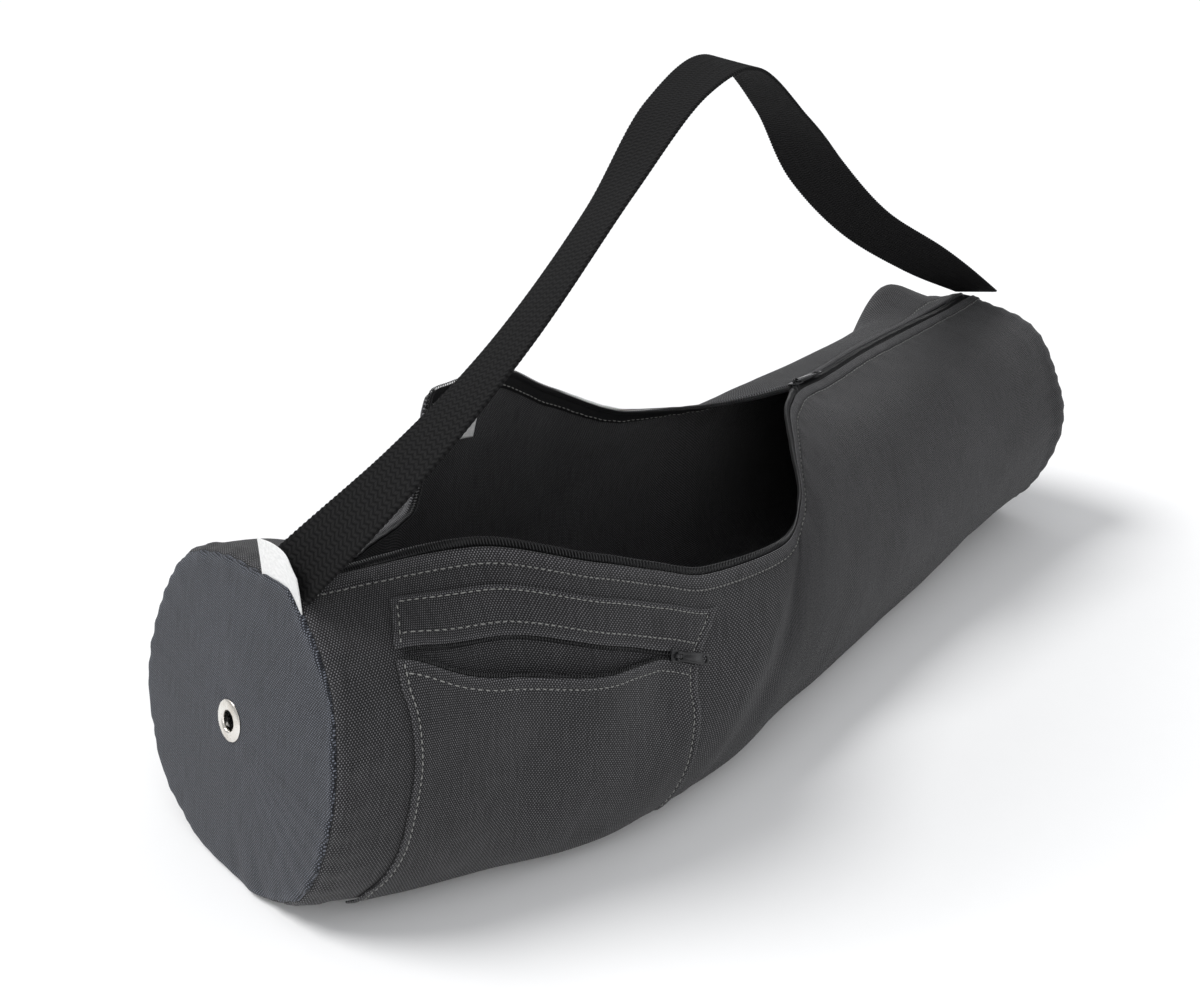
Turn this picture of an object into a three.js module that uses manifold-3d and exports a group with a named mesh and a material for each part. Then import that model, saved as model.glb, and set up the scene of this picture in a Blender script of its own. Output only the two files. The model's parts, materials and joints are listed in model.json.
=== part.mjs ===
// Bag for a rolled exercise mat: a canvas tube with two sewn end discs, open along its zip as far as the slider.
// Millimetres, +Z up. The bag lies along X, its pocket faces -Y, and the slider has closed the +X end.
import * as THREE from "three";
import { mergeVertices } from "three/addons/utils/BufferGeometryUtils.js";
import Module from "manifold-3d";

// Driving sizes of the bag
const BAG_LENGTH = 703; // end seam to end seam, on the floor
const BAG_RADIUS = 89; // of the round end discs
const CANVAS = 1.5; // thickness of the canvas
const SEW_GAP = 0.3; // clearance between pieces that are sewn or rest face to face
const LAY_GAP = 0.6; // clearance of cloth that follows folded cloth
const LIP_SPACING = 9.6; // between the two canvas edges where the zip is closed
const NEAR_BULGE = 2; // of the near end disc, outward at its centre
const FAR_BULGE = 9; // of the far one

// Zip: woven tape and nylon coil
const TAPE_WIDTH = 12;
const TAPE_THICKNESS = 0.6;
const COIL_RADIUS = 1.3;
const COIL_SIDES = 8;
const COIL_ROOM = 0.8; // from each closed coil to the middle of the zip, as the edges tilt
const ZIP_END = 7; // distance from an end seam to the end of the coils

// Slider and pull
const SLIDER_AT = 0.643 * BAG_LENGTH; // station of the slider along the bag
const SLIDER_LENGTH = 10;
const SLIDER_WIDTH = 9.4;
const PLATE = 1.2; // thickness of the slider's plates, its wedge and its bridge
const WEDGE_WIDTH = 1.4; // of the post that parts the coils
const WEDGE_SETBACK = 0.5; // from the slider's open end
const OPEN_CUT = 1.5; // how far a plate's corners are cut back at its open end
const CLOSED_CUT = 1; // and at its closed end
const OPEN_NOSE = 0.6; // shares of a plate's half width that its cut ends keep
const CLOSED_NOSE = 0.55;
const CLOSED_SHOULDER = 0.8;
const BRIDGE_WIDTH = 2;
const BRIDGE_BORE = 1.2; // inner radius of the bridge
const BRIDGE_BAR = 0.96; // its thickness
const BRIDGE_RISE = 0.95; // height of the pull's axis over the upper plate
const PULL_LENGTH = 26;
const PULL_WIDTH = 8;
const PULL_THICKNESS = 1.2;
const PULL_EYE = 2.3; // radius of the hole at the pull's free end
const PULL_NECK = 0.8; // share of the pull's half width at its hinge
const NECK_ROOM = 0.5; // on each side of the bridge in the pull's slot
const SWING_ROOM = 0.9; // beyond the bridge in the pull's slot
const EYE_SETBACK = 0.3; // of the eye from the middle of the round end

// Eyelet in the near disc
const EYELET_BORE = 5.4; // radius
const EYELET_FLANGE = 11.2; // outer radius
const EYELET_METAL = 0.7;
const EYELET_WASHER = 10.7; // outer radius of its washer behind the disc
const EYELET_SLOPE = 1; // width of the flange's bevelled edge
const EYELET_LIP = 1.6; // width of the roll round the bore
const EYELET_CROWN = 1.26; // height of the roll
const EYELET_FIT = 0.6; // clearance of its barrel in the canvas

// Strap
const STRAP_WIDTH = 38;
const STRAP_THICKNESS = 2;

// Pocket on the front
const POCKET_FROM = 36; // stations of its two side seams
const POCKET_TO = 190;
const POCKET_DROP = 18.5; // from the mouth's edge down to the upper band
const BAND_HEIGHT = 25;
const POCKET_CLOTH = 1.2;
const PANEL_GAP = 0.9; // from the body to the panel along its seams
const POCKET_SAG = 14; // of the slot's lower edge where it hangs open
const POCKET_POUCH = 9; // how far the slot stands open there
const POCKET_FOOT = 9; // height of the pocket's lower seam above the floor
const POCKET_SLOT = 4.6; // between the band and the panel where the slot is closed
const SLOT_RISE = 0.9; // how much the hems and the zip's tape lift the cloth along the slot
const POCKET_ZIP_INSET = 5; // from a side seam to the end of the pocket's coils
const POCKET_COIL = 0.75; // radius
const POCKET_SLIDER_AT = 174;
const POCKET_SLIDER_LENGTH = 8.5;
const POCKET_SLIDER_WIDTH = 7.4;
const POCKET_WEDGE = 0.6;
const POCKET_PLATE = 0.8; // thickness of its slider's plates
const POCKET_PULL_LENGTH = 25;
const POCKET_PULL_WIDTH = 6.8;
const POCKET_PULL_EYE = 1.9;

// Labels: sewn into the near seam, and inside the rear wall
const LABEL_THICKNESS = 0.6;
const SEAM_LABEL_HEIGHT = 19;
const SEAM_LABEL_SPAN = 15; // along the seam on each side of the zip
const CARE_LABEL_FROM = 214; // station of its near edge
const CARE_LABEL_WIDTH = 24;
const CARE_LABEL_DROP = 16; // from the rear lip down to its upper edge
const CARE_LABEL_HEIGHT = 34;

// How finely the cloth is divided
const ROW_SPACING = 24;
const COLUMNS = 30;
const STRAP_STEPS = 40;
const FOOT_STEPS = 400; // of the search for the pocket's lower seam
const SEAM_STRAY = 12; // the most that a side seam of the pocket strays

const SECTIONS = [
  { at: 0.000, frontLean: 0.40, rearLean: 0.40, frontHigh: [-0.85, 1.53], frontBelly: [-0.99, 0.85], frontFoot: -0.27,
    rearFoot: 0.29, rearBelly: [1.11, 0.88], rearHigh: [0.74, 1.72] },
  { at: 0.043, frontLean: 0.38, rearLean: 0.38, frontHigh: [-0.96, 1.55], frontBelly: [-1.10, 0.76], frontFoot: -0.56,
    rearFoot: 0.49, rearBelly: [1.17, 0.81], rearHigh: [0.76, 1.66] },
  { at: 0.135, frontLean: 0.17, rearLean: 0.13, frontHigh: [-1.17, 1.44], frontBelly: [-1.27, 0.63], frontFoot: -0.99,
    rearFoot: 0.76, rearBelly: [1.19, 0.67], rearHigh: [0.76, 1.44] },
  { at: 0.213, frontLean: 0.31, rearLean: 0.00, frontHigh: [-1.37, 1.21], frontBelly: [-1.49, 0.54], frontFoot: -1.24,
    rearFoot: 0.85, rearBelly: [1.19, 0.63], rearHigh: [0.97, 1.26] },
  { at: 0.245, frontLean: 0.49, rearLean: 0.00, frontHigh: [-1.40, 1.09], frontBelly: [-1.53, 0.51], frontFoot: -1.26,
    rearFoot: 0.87, rearBelly: [1.19, 0.67], rearHigh: [1.03, 1.39] },
  { at: 0.277, frontLean: 0.70, rearLean: 0.00, frontHigh: [-1.42, 0.97], frontBelly: [-1.54, 0.47], frontFoot: -1.28,
    rearFoot: 0.88, rearBelly: [1.19, 0.72], rearHigh: [1.06, 1.57] },
  { at: 0.341, frontLean: 1.15, rearLean: 0.00, frontHigh: [-1.33, 0.88], frontBelly: [-1.53, 0.45], frontFoot: -1.30,
    rearFoot: 0.88, rearBelly: [1.17, 0.74], rearHigh: [1.03, 1.60] },
  { at: 0.413, frontLean: 0.92, rearLean: 0.00, frontHigh: [-1.24, 1.03], frontBelly: [-1.44, 0.54], frontFoot: -1.24,
    rearFoot: 0.83, rearBelly: [1.10, 0.70], rearHigh: [0.99, 1.44] },
  { at: 0.491, frontLean: 0.58, rearLean: 0.00, frontHigh: [-1.06, 1.28], frontBelly: [-1.35, 0.61], frontFoot: -1.15,
    rearFoot: 0.74, rearBelly: [1.01, 0.67], rearHigh: [0.85, 1.37] },
  { at: 0.569, frontLean: 0.30, rearLean: 0.00, frontHigh: [-0.88, 1.51], frontBelly: [-1.26, 0.70], frontFoot: -1.06,
    rearFoot: 0.65, rearBelly: [0.92, 0.67], rearHigh: [0.70, 1.46] },
  { at: 0.656, frontLean: 0.00, rearLean: 0.00, frontHigh: [-0.76, 1.62], frontBelly: [-1.18, 0.79], frontFoot: -0.96,
    rearFoot: 0.58, rearBelly: [0.85, 0.70], rearHigh: [0.56, 1.61] },
  { at: 0.768, frontLean: 0.00, rearLean: 0.00, frontHigh: [-0.71, 1.66], frontBelly: [-1.09, 0.85], frontFoot: -0.79,
    rearFoot: 0.54, rearBelly: [0.90, 0.74], rearHigh: [0.61, 1.63] },
  { at: 0.893, frontLean: 0.02, rearLean: 0.02, frontHigh: [-0.69, 1.71], frontBelly: [-1.02, 0.94], frontFoot: -0.47,
    rearFoot: 0.43, rearBelly: [0.98, 0.85], rearHigh: [0.69, 1.71] },
  { at: 0.945, frontLean: 0.04, rearLean: 0.04, frontHigh: [-0.67, 1.73], frontBelly: [-1.01, 0.97], frontFoot: -0.34,
    rearFoot: 0.34, rearBelly: [1.01, 0.97], rearHigh: [0.74, 2.03] },
  { at: 0.982, frontLean: 0.07, rearLean: 0.07, frontHigh: [-0.67, 1.75], frontBelly: [-1.00, 0.99], frontFoot: -0.25,
    rearFoot: 0.27, rearBelly: [1.01, 0.94], rearHigh: [0.70, 1.80] },
  { at: 1.000, frontLean: 0.09, rearLean: 0.09, frontHigh: [-0.65, 1.75], frontBelly: [-1.00, 0.99], frontFoot: -0.18,
    rearFoot: 0.18, rearBelly: [1.00, 0.99], rearHigh: [0.74, 1.71] },
];
const MOUTH = [
  { at: 0.000, zip: [-0.36, 1.93], frontGape: [0.00, 0.00], rearGape: [0.00, 0.00] },
  { at: 0.043, zip: [-0.38, 1.92], frontGape: [-0.04, 0.00], rearGape: [0.09, -0.02] },
  { at: 0.135, zip: [-0.36, 1.89], frontGape: [-0.48, 0.15], rearGape: [0.47, -0.22] },
  { at: 0.213, zip: [-0.34, 1.85], frontGape: [-0.74, -0.09], rearGape: [0.67, -0.19] },
  { at: 0.245, zip: [-0.31, 1.85], frontGape: [-0.78, -0.29], rearGape: [0.81, 0.01] },
  { at: 0.277, zip: [-0.29, 1.85], frontGape: [-0.80, -0.49], rearGape: [0.97, 0.42] },
  { at: 0.341, zip: [-0.22, 1.85], frontGape: [-0.76, -0.65], rearGape: [0.90, 0.44] },
  { at: 0.413, zip: [-0.19, 1.85], frontGape: [-0.66, -0.49], rearGape: [0.87, 0.16] },
  { at: 0.491, zip: [-0.17, 1.85], frontGape: [-0.39, -0.22], rearGape: [0.66, -0.10] },
  { at: 0.569, zip: [-0.15, 1.84], frontGape: [-0.10, -0.04], rearGape: [0.44, -0.14] },
  { at: 0.656, zip: [-0.12, 1.83], frontGape: [0.00, 0.00], rearGape: [0.00, 0.00] },
  { at: 0.768, zip: [-0.03, 1.89], frontGape: [0.00, 0.00], rearGape: [0.00, 0.00] },
  { at: 0.893, zip: [0.07, 1.92], frontGape: [0.00, 0.00], rearGape: [0.00, 0.00] },
  { at: 0.945, zip: [0.10, 1.94], frontGape: [0.00, 0.00], rearGape: [0.00, 0.00] },
  { at: 0.982, zip: [0.12, 1.97], frontGape: [0.00, 0.00], rearGape: [0.00, 0.00] },
  { at: 1.000, zip: [0.13, 1.98], frontGape: [0.00, 0.00], rearGape: [0.00, 0.00] },
];

// The strap's route from the top of the near seam: where its middle runs, and how its width is turned,
// in degrees about Z and then edge up
const STRAP_ROUTE = [
  { at: 0.0025, side: -0.39, up: 1.965, yaw: -8, roll: 22 },
  { at: 0.0699, side: -0.72, up: 2.52, yaw: -12, roll: 5 },
  { at: 0.1605, side: -0.8, up: 3.06, yaw: -6, roll: -14 },
  { at: 0.2700, side: -0.73, up: 3.7, yaw: 0, roll: -22 },
  { at: 0.3754, side: -0.5, up: 4.18, yaw: 16, roll: -10 },
  { at: 0.4796, side: -0.26, up: 4.31, yaw: 9, roll: 9 },
  { at: 0.5808, side: -0.08, up: 3.91, yaw: 13, roll: 6 },
  { at: 0.6777, side: 0.12, up: 3.4, yaw: 26, roll: -22 },
  { at: 0.7809, side: 0.17, up: 2.89, yaw: 18, roll: -31 },
  { at: 0.8926, side: 0.1, up: 2.46, yaw: 16, roll: -32 },
  { at: 1.0084, side: 0.04, up: 2.03, yaw: 10, roll: -6 },
];

// How the pocket's side seams, straight on the flat cloth, stray along the bag on their way down from the mouth
const POCKET_SWAY = [
  { down: 18, shift: 7.5 },
  { down: 30, shift: 2 },
  { down: 41, shift: -3 },
  { down: 50, shift: -5 },
  { down: 60, shift: -4.5 },
  { down: 72, shift: -1.5 },
  { down: 84, shift: 0 },
  { down: 98, shift: 1 },
  { down: 117, shift: 0 },
  { down: 138, shift: -1 },
  { down: 153, shift: -4 },
  { down: 166, shift: -10 },
];

const COLOURS = {
  canvas: 0x35353a,
  webbing: 0x111113,
  zip: 0x101012,
  slider: 0x1a1a1c,
  nickel: 0xc8c2b4,
  label: 0xf2f2f0,
};

const wasm = await Module();
wasm.setup();

const bag = new THREE.Group();

function finish(colour, roughness, metalness = 0) {
  return new THREE.MeshStandardMaterial({ color: colour, roughness, metalness });
}

const canvas = finish(COLOURS.canvas, 0.95);
const webbing = finish(COLOURS.webbing, 0.85);
const zipNylon = finish(COLOURS.zip, 0.6);
const sliderMetal = finish(COLOURS.slider, 0.35, 0.8);
const nickel = finish(COLOURS.nickel, 0.25, 1);
const labelCloth = finish(COLOURS.label, 0.8);

function add(name, geometry, material) {
  const mesh = new THREE.Mesh(geometry, material);
  mesh.name = name;
  bag.add(mesh);
  return mesh;
}

// Interpolation down a column of a table, without overshoot between its rows
function slopes(xs, ys) {
  const secant = xs.slice(1).map((x, i) => (ys[i + 1] - ys[i]) / (x - xs[i]));
  const inner = secant.slice(1).map((after, i) => {
    const before = secant[i];
    return before * after <= 0 ? 0 : (2 * before * after) / (before + after);
  });
  return [secant[0], ...inner, secant.at(-1)];
}

function along(xs, ys, x) {
  const last = xs.length - 2;
  const found = xs.findIndex((value) => value > x) - 1;
  const i = found < 0 ? last : Math.min(found, last);
  const step = xs[i + 1] - xs[i];
  const t = Math.min(Math.max((x - xs[i]) / step, 0), 1);
  const m = slopes(xs, ys);
  const rise = ys[i + 1] - ys[i];
  const ease = t * t * (3 - 2 * t);
  const leave = t * (1 - t) * (1 - t) * step * m[i];
  const arrive = t * t * (t - 1) * step * m[i + 1];
  return ys[i] + rise * ease + leave + arrive;
}

function column(table, name, at) {
  const xs = table.map((row) => row.at);
  const read = (part) => along(xs, table.map(part), at);
  if (!Array.isArray(table[0][name])) return read((row) => row[name]);
  return [read((row) => row[name][0]), read((row) => row[name][1])];
}

// The bag's cross-section at a station: from the front lip down round the floor and up to the rear lip
const stations = new Map();

function section(station) {
  if (stations.has(station)) return stations.get(station);
  const at = station / BAG_LENGTH;
  const body = (name) => column(SECTIONS, name, at);
  const mouth = (name) => column(MOUTH, name, at);
  const point = ([side, up]) => new THREE.Vector3(0, side * BAG_RADIUS, up * BAG_RADIUS);
  const zip = point(mouth("zip"));
  const half = new THREE.Vector3(0, LIP_SPACING / 2, 0);
  const foot = (share) => point([share, 0]);
  const low = (footShare, [side, up]) =>
    point([footShare + (side - footShare) * Math.SQRT1_2, up * (1 - Math.SQRT1_2)]);
  const curve = new THREE.CatmullRomCurve3(
    [
      zip.clone().add(point(mouth("frontGape"))).sub(half),
      point(body("frontHigh")),
      point(body("frontBelly")),
      low(body("frontFoot"), body("frontBelly")),
      foot(body("frontFoot")),
      foot((body("frontFoot") + body("rearFoot")) / 2),
      foot(body("rearFoot")),
      low(body("rearFoot"), body("rearBelly")),
      point(body("rearBelly")),
      point(body("rearHigh")),
      zip.clone().add(point(mouth("rearGape"))).add(half),
    ],
    false,
    "centripetal",
  );
  curve.arcLengthDivisions = 240;
  const made = {
    station,
    curve,
    girth: curve.getLength(),
    frontLean: body("frontLean") * BAG_RADIUS,
    rearLean: body("rearLean") * BAG_RADIUS,
    middle: (body("frontFoot") + body("rearFoot")) * 0.5 * BAG_RADIUS,
  };
  stations.set(station, made);
  return made;
}

// A point of the outer face, at a share of the girth from the front lip
function skin(station, share) {
  const s = section(station);
  const p = s.curve.getPointAt(Math.min(Math.max(share, 0), 1));
  const front = p.y < s.middle;
  const lip = s.curve.points.at(front ? 0 : -1);
  const lean = front ? s.frontLean : s.rearLean;
  p.z = Math.max(p.z, 0);
  p.x = station + (lean * p.z) / lip.z;
  return p;
}

const STEP_ALONG = 2;
const STEP_AROUND = 0.004;

function normalAt(station, share) {
  const back = Math.max(station - STEP_ALONG, 0);
  const fore = Math.min(station + STEP_ALONG, BAG_LENGTH);
  const low = Math.max(share - STEP_AROUND, 0);
  const high = Math.min(share + STEP_AROUND, 1);
  const length = skin(fore, share).sub(skin(back, share));
  const around = skin(station, high).sub(skin(station, low));
  return around.cross(length).normalize();
}

function range(count, from, to) {
  return Array.from({ length: count }, (_, i) => from + ((to - from) * i) / (count - 1));
}

// Zip levels: lifts off the outer face, and distances past the canvas edge
const COIL_LIFT = -CANVAS;
const COIL_OUT = LIP_SPACING / 2 - COIL_RADIUS - COIL_ROOM;
const TAPE_TOP = -CANVAS - SEW_GAP;
const TAPE_EDGE = COIL_OUT - COIL_RADIUS - SEW_GAP;

// The pocket's seams, as shares of the girth down from the front lip
const nominalGirth = 2 * Math.PI * BAG_RADIUS;
const tapeShare = (TAPE_WIDTH - TAPE_EDGE) / nominalGirth;
const pocketTop = POCKET_DROP / nominalGirth;
const bandFoot = (POCKET_DROP + BAND_HEIGHT) / nominalGirth;
const panelTop = bandFoot + POCKET_SLOT / nominalGirth;

// The cloth as it is faceted: rows at the table's stations, columns along the zip and the band
const marks = SECTIONS.map((row) => row.at * BAG_LENGTH);
const bodyStations = marks.flatMap((to, i) => {
  if (i === 0) return [to];
  const pieces = Math.ceil((to - marks[i - 1]) / ROW_SPACING);
  return range(pieces + 1, marks[i - 1], to).slice(1);
});
const bodyShares = [
  0,
  tapeShare / 2,
  tapeShare,
  pocketTop,
  (pocketTop + bandFoot) / 2,
  bandFoot,
  ...range(COLUMNS, panelTop, 1 - tapeShare),
  1 - tapeShare / 2,
  1,
];
const facets = bodyStations.map((station) =>
  bodyShares.map((share) => ({ point: skin(station, share), normal: normalAt(station, share) })),
);

function between(values, value) {
  const last = values.length - 2;
  const found = values.findIndex((v) => v > value) - 1;
  const i = found < 0 ? (value < values[0] ? 0 : last) : Math.min(found, last);
  return [i, (value - values[i]) / (values[i + 1] - values[i])];
}

// A place on the faceted cloth, lifted off its outer face
function place(station, share, lift) {
  const [i, t] = between(bodyStations, station);
  const [j, u] = between(bodyShares, share);
  const lifted = (row, col) => facets[row][col].point.clone().addScaledVector(facets[row][col].normal, lift);
  const near = lifted(i, j).lerp(lifted(i, j + 1), u);
  const far = lifted(i + 1, j).lerp(lifted(i + 1, j + 1), u);
  return near.lerp(far, t);
}

// A place beside a lip: out is the distance past the canvas edge, across the mouth
function beside(lip, station, out, lift) {
  const edge = place(station, lip, lift);
  const inner = place(station, lip === 0 ? bodyShares[1] : bodyShares.at(-2), lift);
  return edge.addScaledVector(edge.clone().sub(inner).normalize(), out);
}

// A closed body from points and faces, with coincident points joined and its faces turned outwards
function closedBody(points, faces) {
  const raw = new THREE.BufferGeometry().setFromPoints(points);
  raw.setIndex(faces);
  const merged = mergeVertices(raw, 1e-3);
  const index = merged.index.array;
  const kept = [];
  for (let i = 0; i < index.length; i += 3) {
    const [a, b, c] = index.slice(i, i + 3);
    if (a !== b && b !== c && c !== a) kept.push([a, b, c]);
  }
  const corner = (i) => new THREE.Vector3().fromBufferAttribute(merged.attributes.position, i);
  const volume = kept.reduce(
    (sum, [a, b, c]) => sum + corner(a).dot(corner(b).cross(corner(c))),
    0,
  );
  merged.setIndex(kept.flatMap(([a, b, c]) => (volume > 0 ? [a, b, c] : [a, c, b])));
  merged.computeVertexNormals();
  return merged;
}

// A sheet with thickness, between an upper and a lower grid of points
function sheet(upper, lower, wraps = false) {
  const rows = upper.length;
  const columns = upper[0].length;
  const faces = [];
  const top = (i, j) => i * columns + (j % columns);
  const under = (i, j) => rows * columns + top(i, j);
  const quad = (a, b, c, d) => faces.push(a, b, c, a, c, d);
  const across = wraps ? columns : columns - 1;
  for (let j = 0; j < across; j++) {
    for (let i = 0; i < rows - 1; i++) {
      quad(top(i, j), top(i + 1, j), top(i + 1, j + 1), top(i, j + 1));
      quad(under(i, j), under(i, j + 1), under(i + 1, j + 1), under(i + 1, j));
    }
    quad(top(0, j), top(0, j + 1), under(0, j + 1), under(0, j));
    quad(top(rows - 1, j + 1), top(rows - 1, j), under(rows - 1, j), under(rows - 1, j + 1));
  }
  for (let i = 0; i < rows - 1 && !wraps; i++) {
    quad(top(i + 1, 0), top(i, 0), under(i, 0), under(i + 1, 0));
    quad(top(i, across), top(i + 1, across), under(i + 1, across), under(i, across));
  }
  return closedBody([...upper.flat(), ...lower.flat()], faces);
}

// A bar lofted through rings of points, with flat ends
function loft(rings) {
  const rows = rings.length;
  const sides = rings[0].length;
  const at = (i, j) => i * sides + (j % sides);
  const faces = [];
  for (let j = 0; j < sides; j++) {
    for (let i = 0; i < rows - 1; i++) {
      faces.push(at(i, j), at(i + 1, j), at(i + 1, j + 1));
      faces.push(at(i, j), at(i + 1, j + 1), at(i, j + 1));
    }
    if (j === 0 || j === sides - 1) continue;
    faces.push(at(0, 0), at(0, j), at(0, j + 1));
    faces.push(at(rows - 1, 0), at(rows - 1, j + 1), at(rows - 1, j));
  }
  return closedBody(rings.flat(), faces);
}

// Canvas tube
function bodyShell() {
  const grid = (lift) => bodyStations.map((x) => bodyShares.map((s) => place(x, s, lift)));
  const outer = grid(0);
  const inner = grid(-CANVAS);
  for (const row of inner) for (const p of row) p.z = Math.max(p.z, CANVAS);
  return sheet(outer, inner);
}
add("body_shell", bodyShell(), canvas);

// End discs: each follows the seam, square to it
function seamRing(station) {
  return range(COLUMNS, 0, 1).map((s) => skin(station, s));
}

function seamPlane(station) {
  const ring = seamRing(station);
  const middle = ring.reduce((sum, p) => sum.add(p), new THREE.Vector3()).divideScalar(COLUMNS);
  const normal = new THREE.Vector3();
  ring.forEach((p, i) => {
    const next = ring[(i + 1) % COLUMNS];
    normal.add(p.clone().sub(middle).cross(next.clone().sub(middle)));
  });
  normal.normalize();
  if (normal.x > 0 === station < BAG_LENGTH / 2) normal.negate();
  return { ring, middle, normal };
}

const DISC_RINGS = [0, 0.3, 0.6, 0.85, 1];
const NO_HOLE = 1e-9;

function endDisc(station, most, hole = NO_HOLE) {
  const { ring, middle, normal } = seamPlane(station);
  const grid = (thickness) =>
    DISC_RINGS.map((share) =>
      ring.map((p) => {
        const reach = p.clone().sub(middle);
        const flat = reach.clone().addScaledVector(normal, -reach.dot(normal));
        const out = share === 0 ? flat.setLength(hole) : reach.multiplyScalar(share);
        const bulge = most * (1 - share * share);
        return middle.clone().add(out).addScaledVector(normal, SEW_GAP + bulge + thickness);
      }),
    );
  return sheet(grid(CANVAS), grid(0), true);
}
add("end_disc_near", endDisc(0, NEAR_BULGE, EYELET_BORE + EYELET_METAL + EYELET_FIT), canvas);
add("end_disc_far", endDisc(BAG_LENGTH, FAR_BULGE), canvas);

// Eyelet: a barrel with a flange on each side of the near disc
function eyelet() {
  const { middle, normal } = seamPlane(0);
  const front = CANVAS + SEW_GAP;
  const back = -SEW_GAP * 2;
  const barrel = EYELET_BORE + EYELET_METAL;
  const outline = [
    [EYELET_BORE, back - EYELET_METAL],
    [EYELET_WASHER, back - EYELET_METAL],
    [EYELET_WASHER, back],
    [barrel, back],
    [barrel, front],
    [EYELET_FLANGE, front],
    [EYELET_FLANGE - EYELET_SLOPE, front + EYELET_METAL],
    [EYELET_BORE + EYELET_LIP, front + EYELET_CROWN],
    [EYELET_BORE, front + EYELET_METAL],
    [EYELET_BORE, back - EYELET_METAL],
  ].map(([r, h]) => new THREE.Vector2(r, h));
  const lathe = new THREE.LatheGeometry(outline, 24);
  lathe.deleteAttribute("normal");
  lathe.deleteAttribute("uv");
  const mesh = add("eyelet", mergeVertices(lathe, 1e-3), nickel);
  mesh.quaternion.setFromUnitVectors(new THREE.Vector3(0, 1, 0), normal);
  mesh.position.copy(middle).addScaledVector(normal, SEW_GAP + NEAR_BULGE);
}
eyelet();

// Zip: tape and coil along each lip
function rowsBetween(from, to) {
  return [from, ...bodyStations.filter((x) => x > from + 1 && x < to - 1), to];
}

const zipStations = rowsBetween(ZIP_END, BAG_LENGTH - ZIP_END);
function zipTape(lip) {
  const shares = lip === 0 ? bodyShares.slice(0, 3) : bodyShares.slice(-3);
  const grid = (lift) =>
    zipStations.map((x) => {
      const sewn = shares.map((share) => place(x, share, lift));
      const free = beside(lip, x, TAPE_EDGE, lift);
      return lip === 0 ? [free, ...sewn] : [...sewn, free];
    });
  return sheet(grid(TAPE_TOP), grid(TAPE_TOP - TAPE_THICKNESS));
}

function coilRing(lip, station, out, lift) {
  return range(COIL_SIDES + 1, 0, 2 * Math.PI)
    .slice(1)
    .map((angle) => {
      const sideways = out + COIL_RADIUS * Math.cos(angle);
      return beside(lip, station, sideways, lift + COIL_RADIUS * Math.sin(angle));
    });
}

function zipCoil(lip) {
  return loft(zipStations.map((x) => coilRing(lip, x, COIL_OUT, COIL_LIFT)));
}
add("zip_tape_front", zipTape(0), zipNylon);
add("zip_tape_rear", zipTape(1), zipNylon);
add("zip_coil_front", zipCoil(0), zipNylon);
add("zip_coil_rear", zipCoil(1), zipNylon);

// Strap: a flat ribbon along its route
const degrees = Math.PI / 180;

function strap() {
  const start = SECTIONS[0].rearLean * BAG_RADIUS;
  const middle = new THREE.CatmullRomCurve3(
    STRAP_ROUTE.map(({ at, side, up }) =>
      new THREE.Vector3(start + at * (BAG_LENGTH - start), side * BAG_RADIUS, up * BAG_RADIUS),
    ),
  );
  const turn = new THREE.CatmullRomCurve3(
    STRAP_ROUTE.map(({ yaw, roll }) => new THREE.Vector3(yaw, roll, 0)),
    false,
    "catmullrom",
  );
  const rings = range(STRAP_STEPS, 0, 1).map((t) => {
    const centre = middle.getPoint(t);
    const ahead = middle.getTangent(t);
    const { x: yaw, y: roll } = turn.getPoint(t).multiplyScalar(degrees);
    const level = Math.cos(roll);
    const width = new THREE.Vector3(-Math.sin(yaw) * level, Math.cos(yaw) * level, Math.sin(roll));
    width.addScaledVector(ahead, -width.dot(ahead)).normalize();
    const up = ahead.clone().cross(width).normalize();
    const corner = (w, h) =>
      centre
        .clone()
        .addScaledVector(width, (w * STRAP_WIDTH) / 2)
        .addScaledVector(up, (h * STRAP_THICKNESS) / 2);
    return [corner(-1, -1), corner(1, -1), corner(1, 1), corner(-1, 1)];
  });
  return loft(rings);
}
add("strap", strap(), webbing);

// Pocket: a band above a zipped slot, and a panel that stands away from the bag along the slot
const downs = POCKET_SWAY.map((row) => row.down);
const shifts = POCKET_SWAY.map((row) => row.shift);

// Where a side seam is at a share of the girth
function seamAt(seam, share) {
  return seam + along(downs, shifts, share * nominalGirth);
}

// The pocket's rows, each a function from a share to a station: its two side seams, and the body's rows between them
const pocketRows = [
  (share) => seamAt(POCKET_FROM, share),
  ...bodyStations
    .filter((x) => x > POCKET_FROM + SEAM_STRAY && x < POCKET_TO - SEAM_STRAY)
    .map((x) => () => x),
  (share) => seamAt(POCKET_TO, share),
];

// How far open the slot is along the pocket: 0 at its stitched end and from the slider on, 1 at its widest
const WIDEST = 0.207;

function slotOpen(station) {
  const stitched = seamAt(POCKET_FROM, bandFoot);
  const closed = POCKET_SLIDER_AT - POCKET_SLIDER_LENGTH * 0.8;
  const t = Math.min(Math.max((station - stitched) / (closed - stitched), 0), 1);
  return (t ** 1.3 * (1 - t)) / WIDEST;
}

function slotSag(station) {
  return (POCKET_SAG * slotOpen(station)) / nominalGirth;
}

function slotPouch(station, down) {
  return POCKET_POUCH * slotOpen(station) * (1 - down) * (1 - down) + SLOT_RISE * (1 - down) ** 3;
}

// Where the panel's lower seam crosses a row, just above the floor
function panelFoot(row) {
  return range(FOOT_STEPS, panelTop, 0.5).find((share) => place(row(share), share, 0).z < POCKET_FOOT);
}

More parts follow.
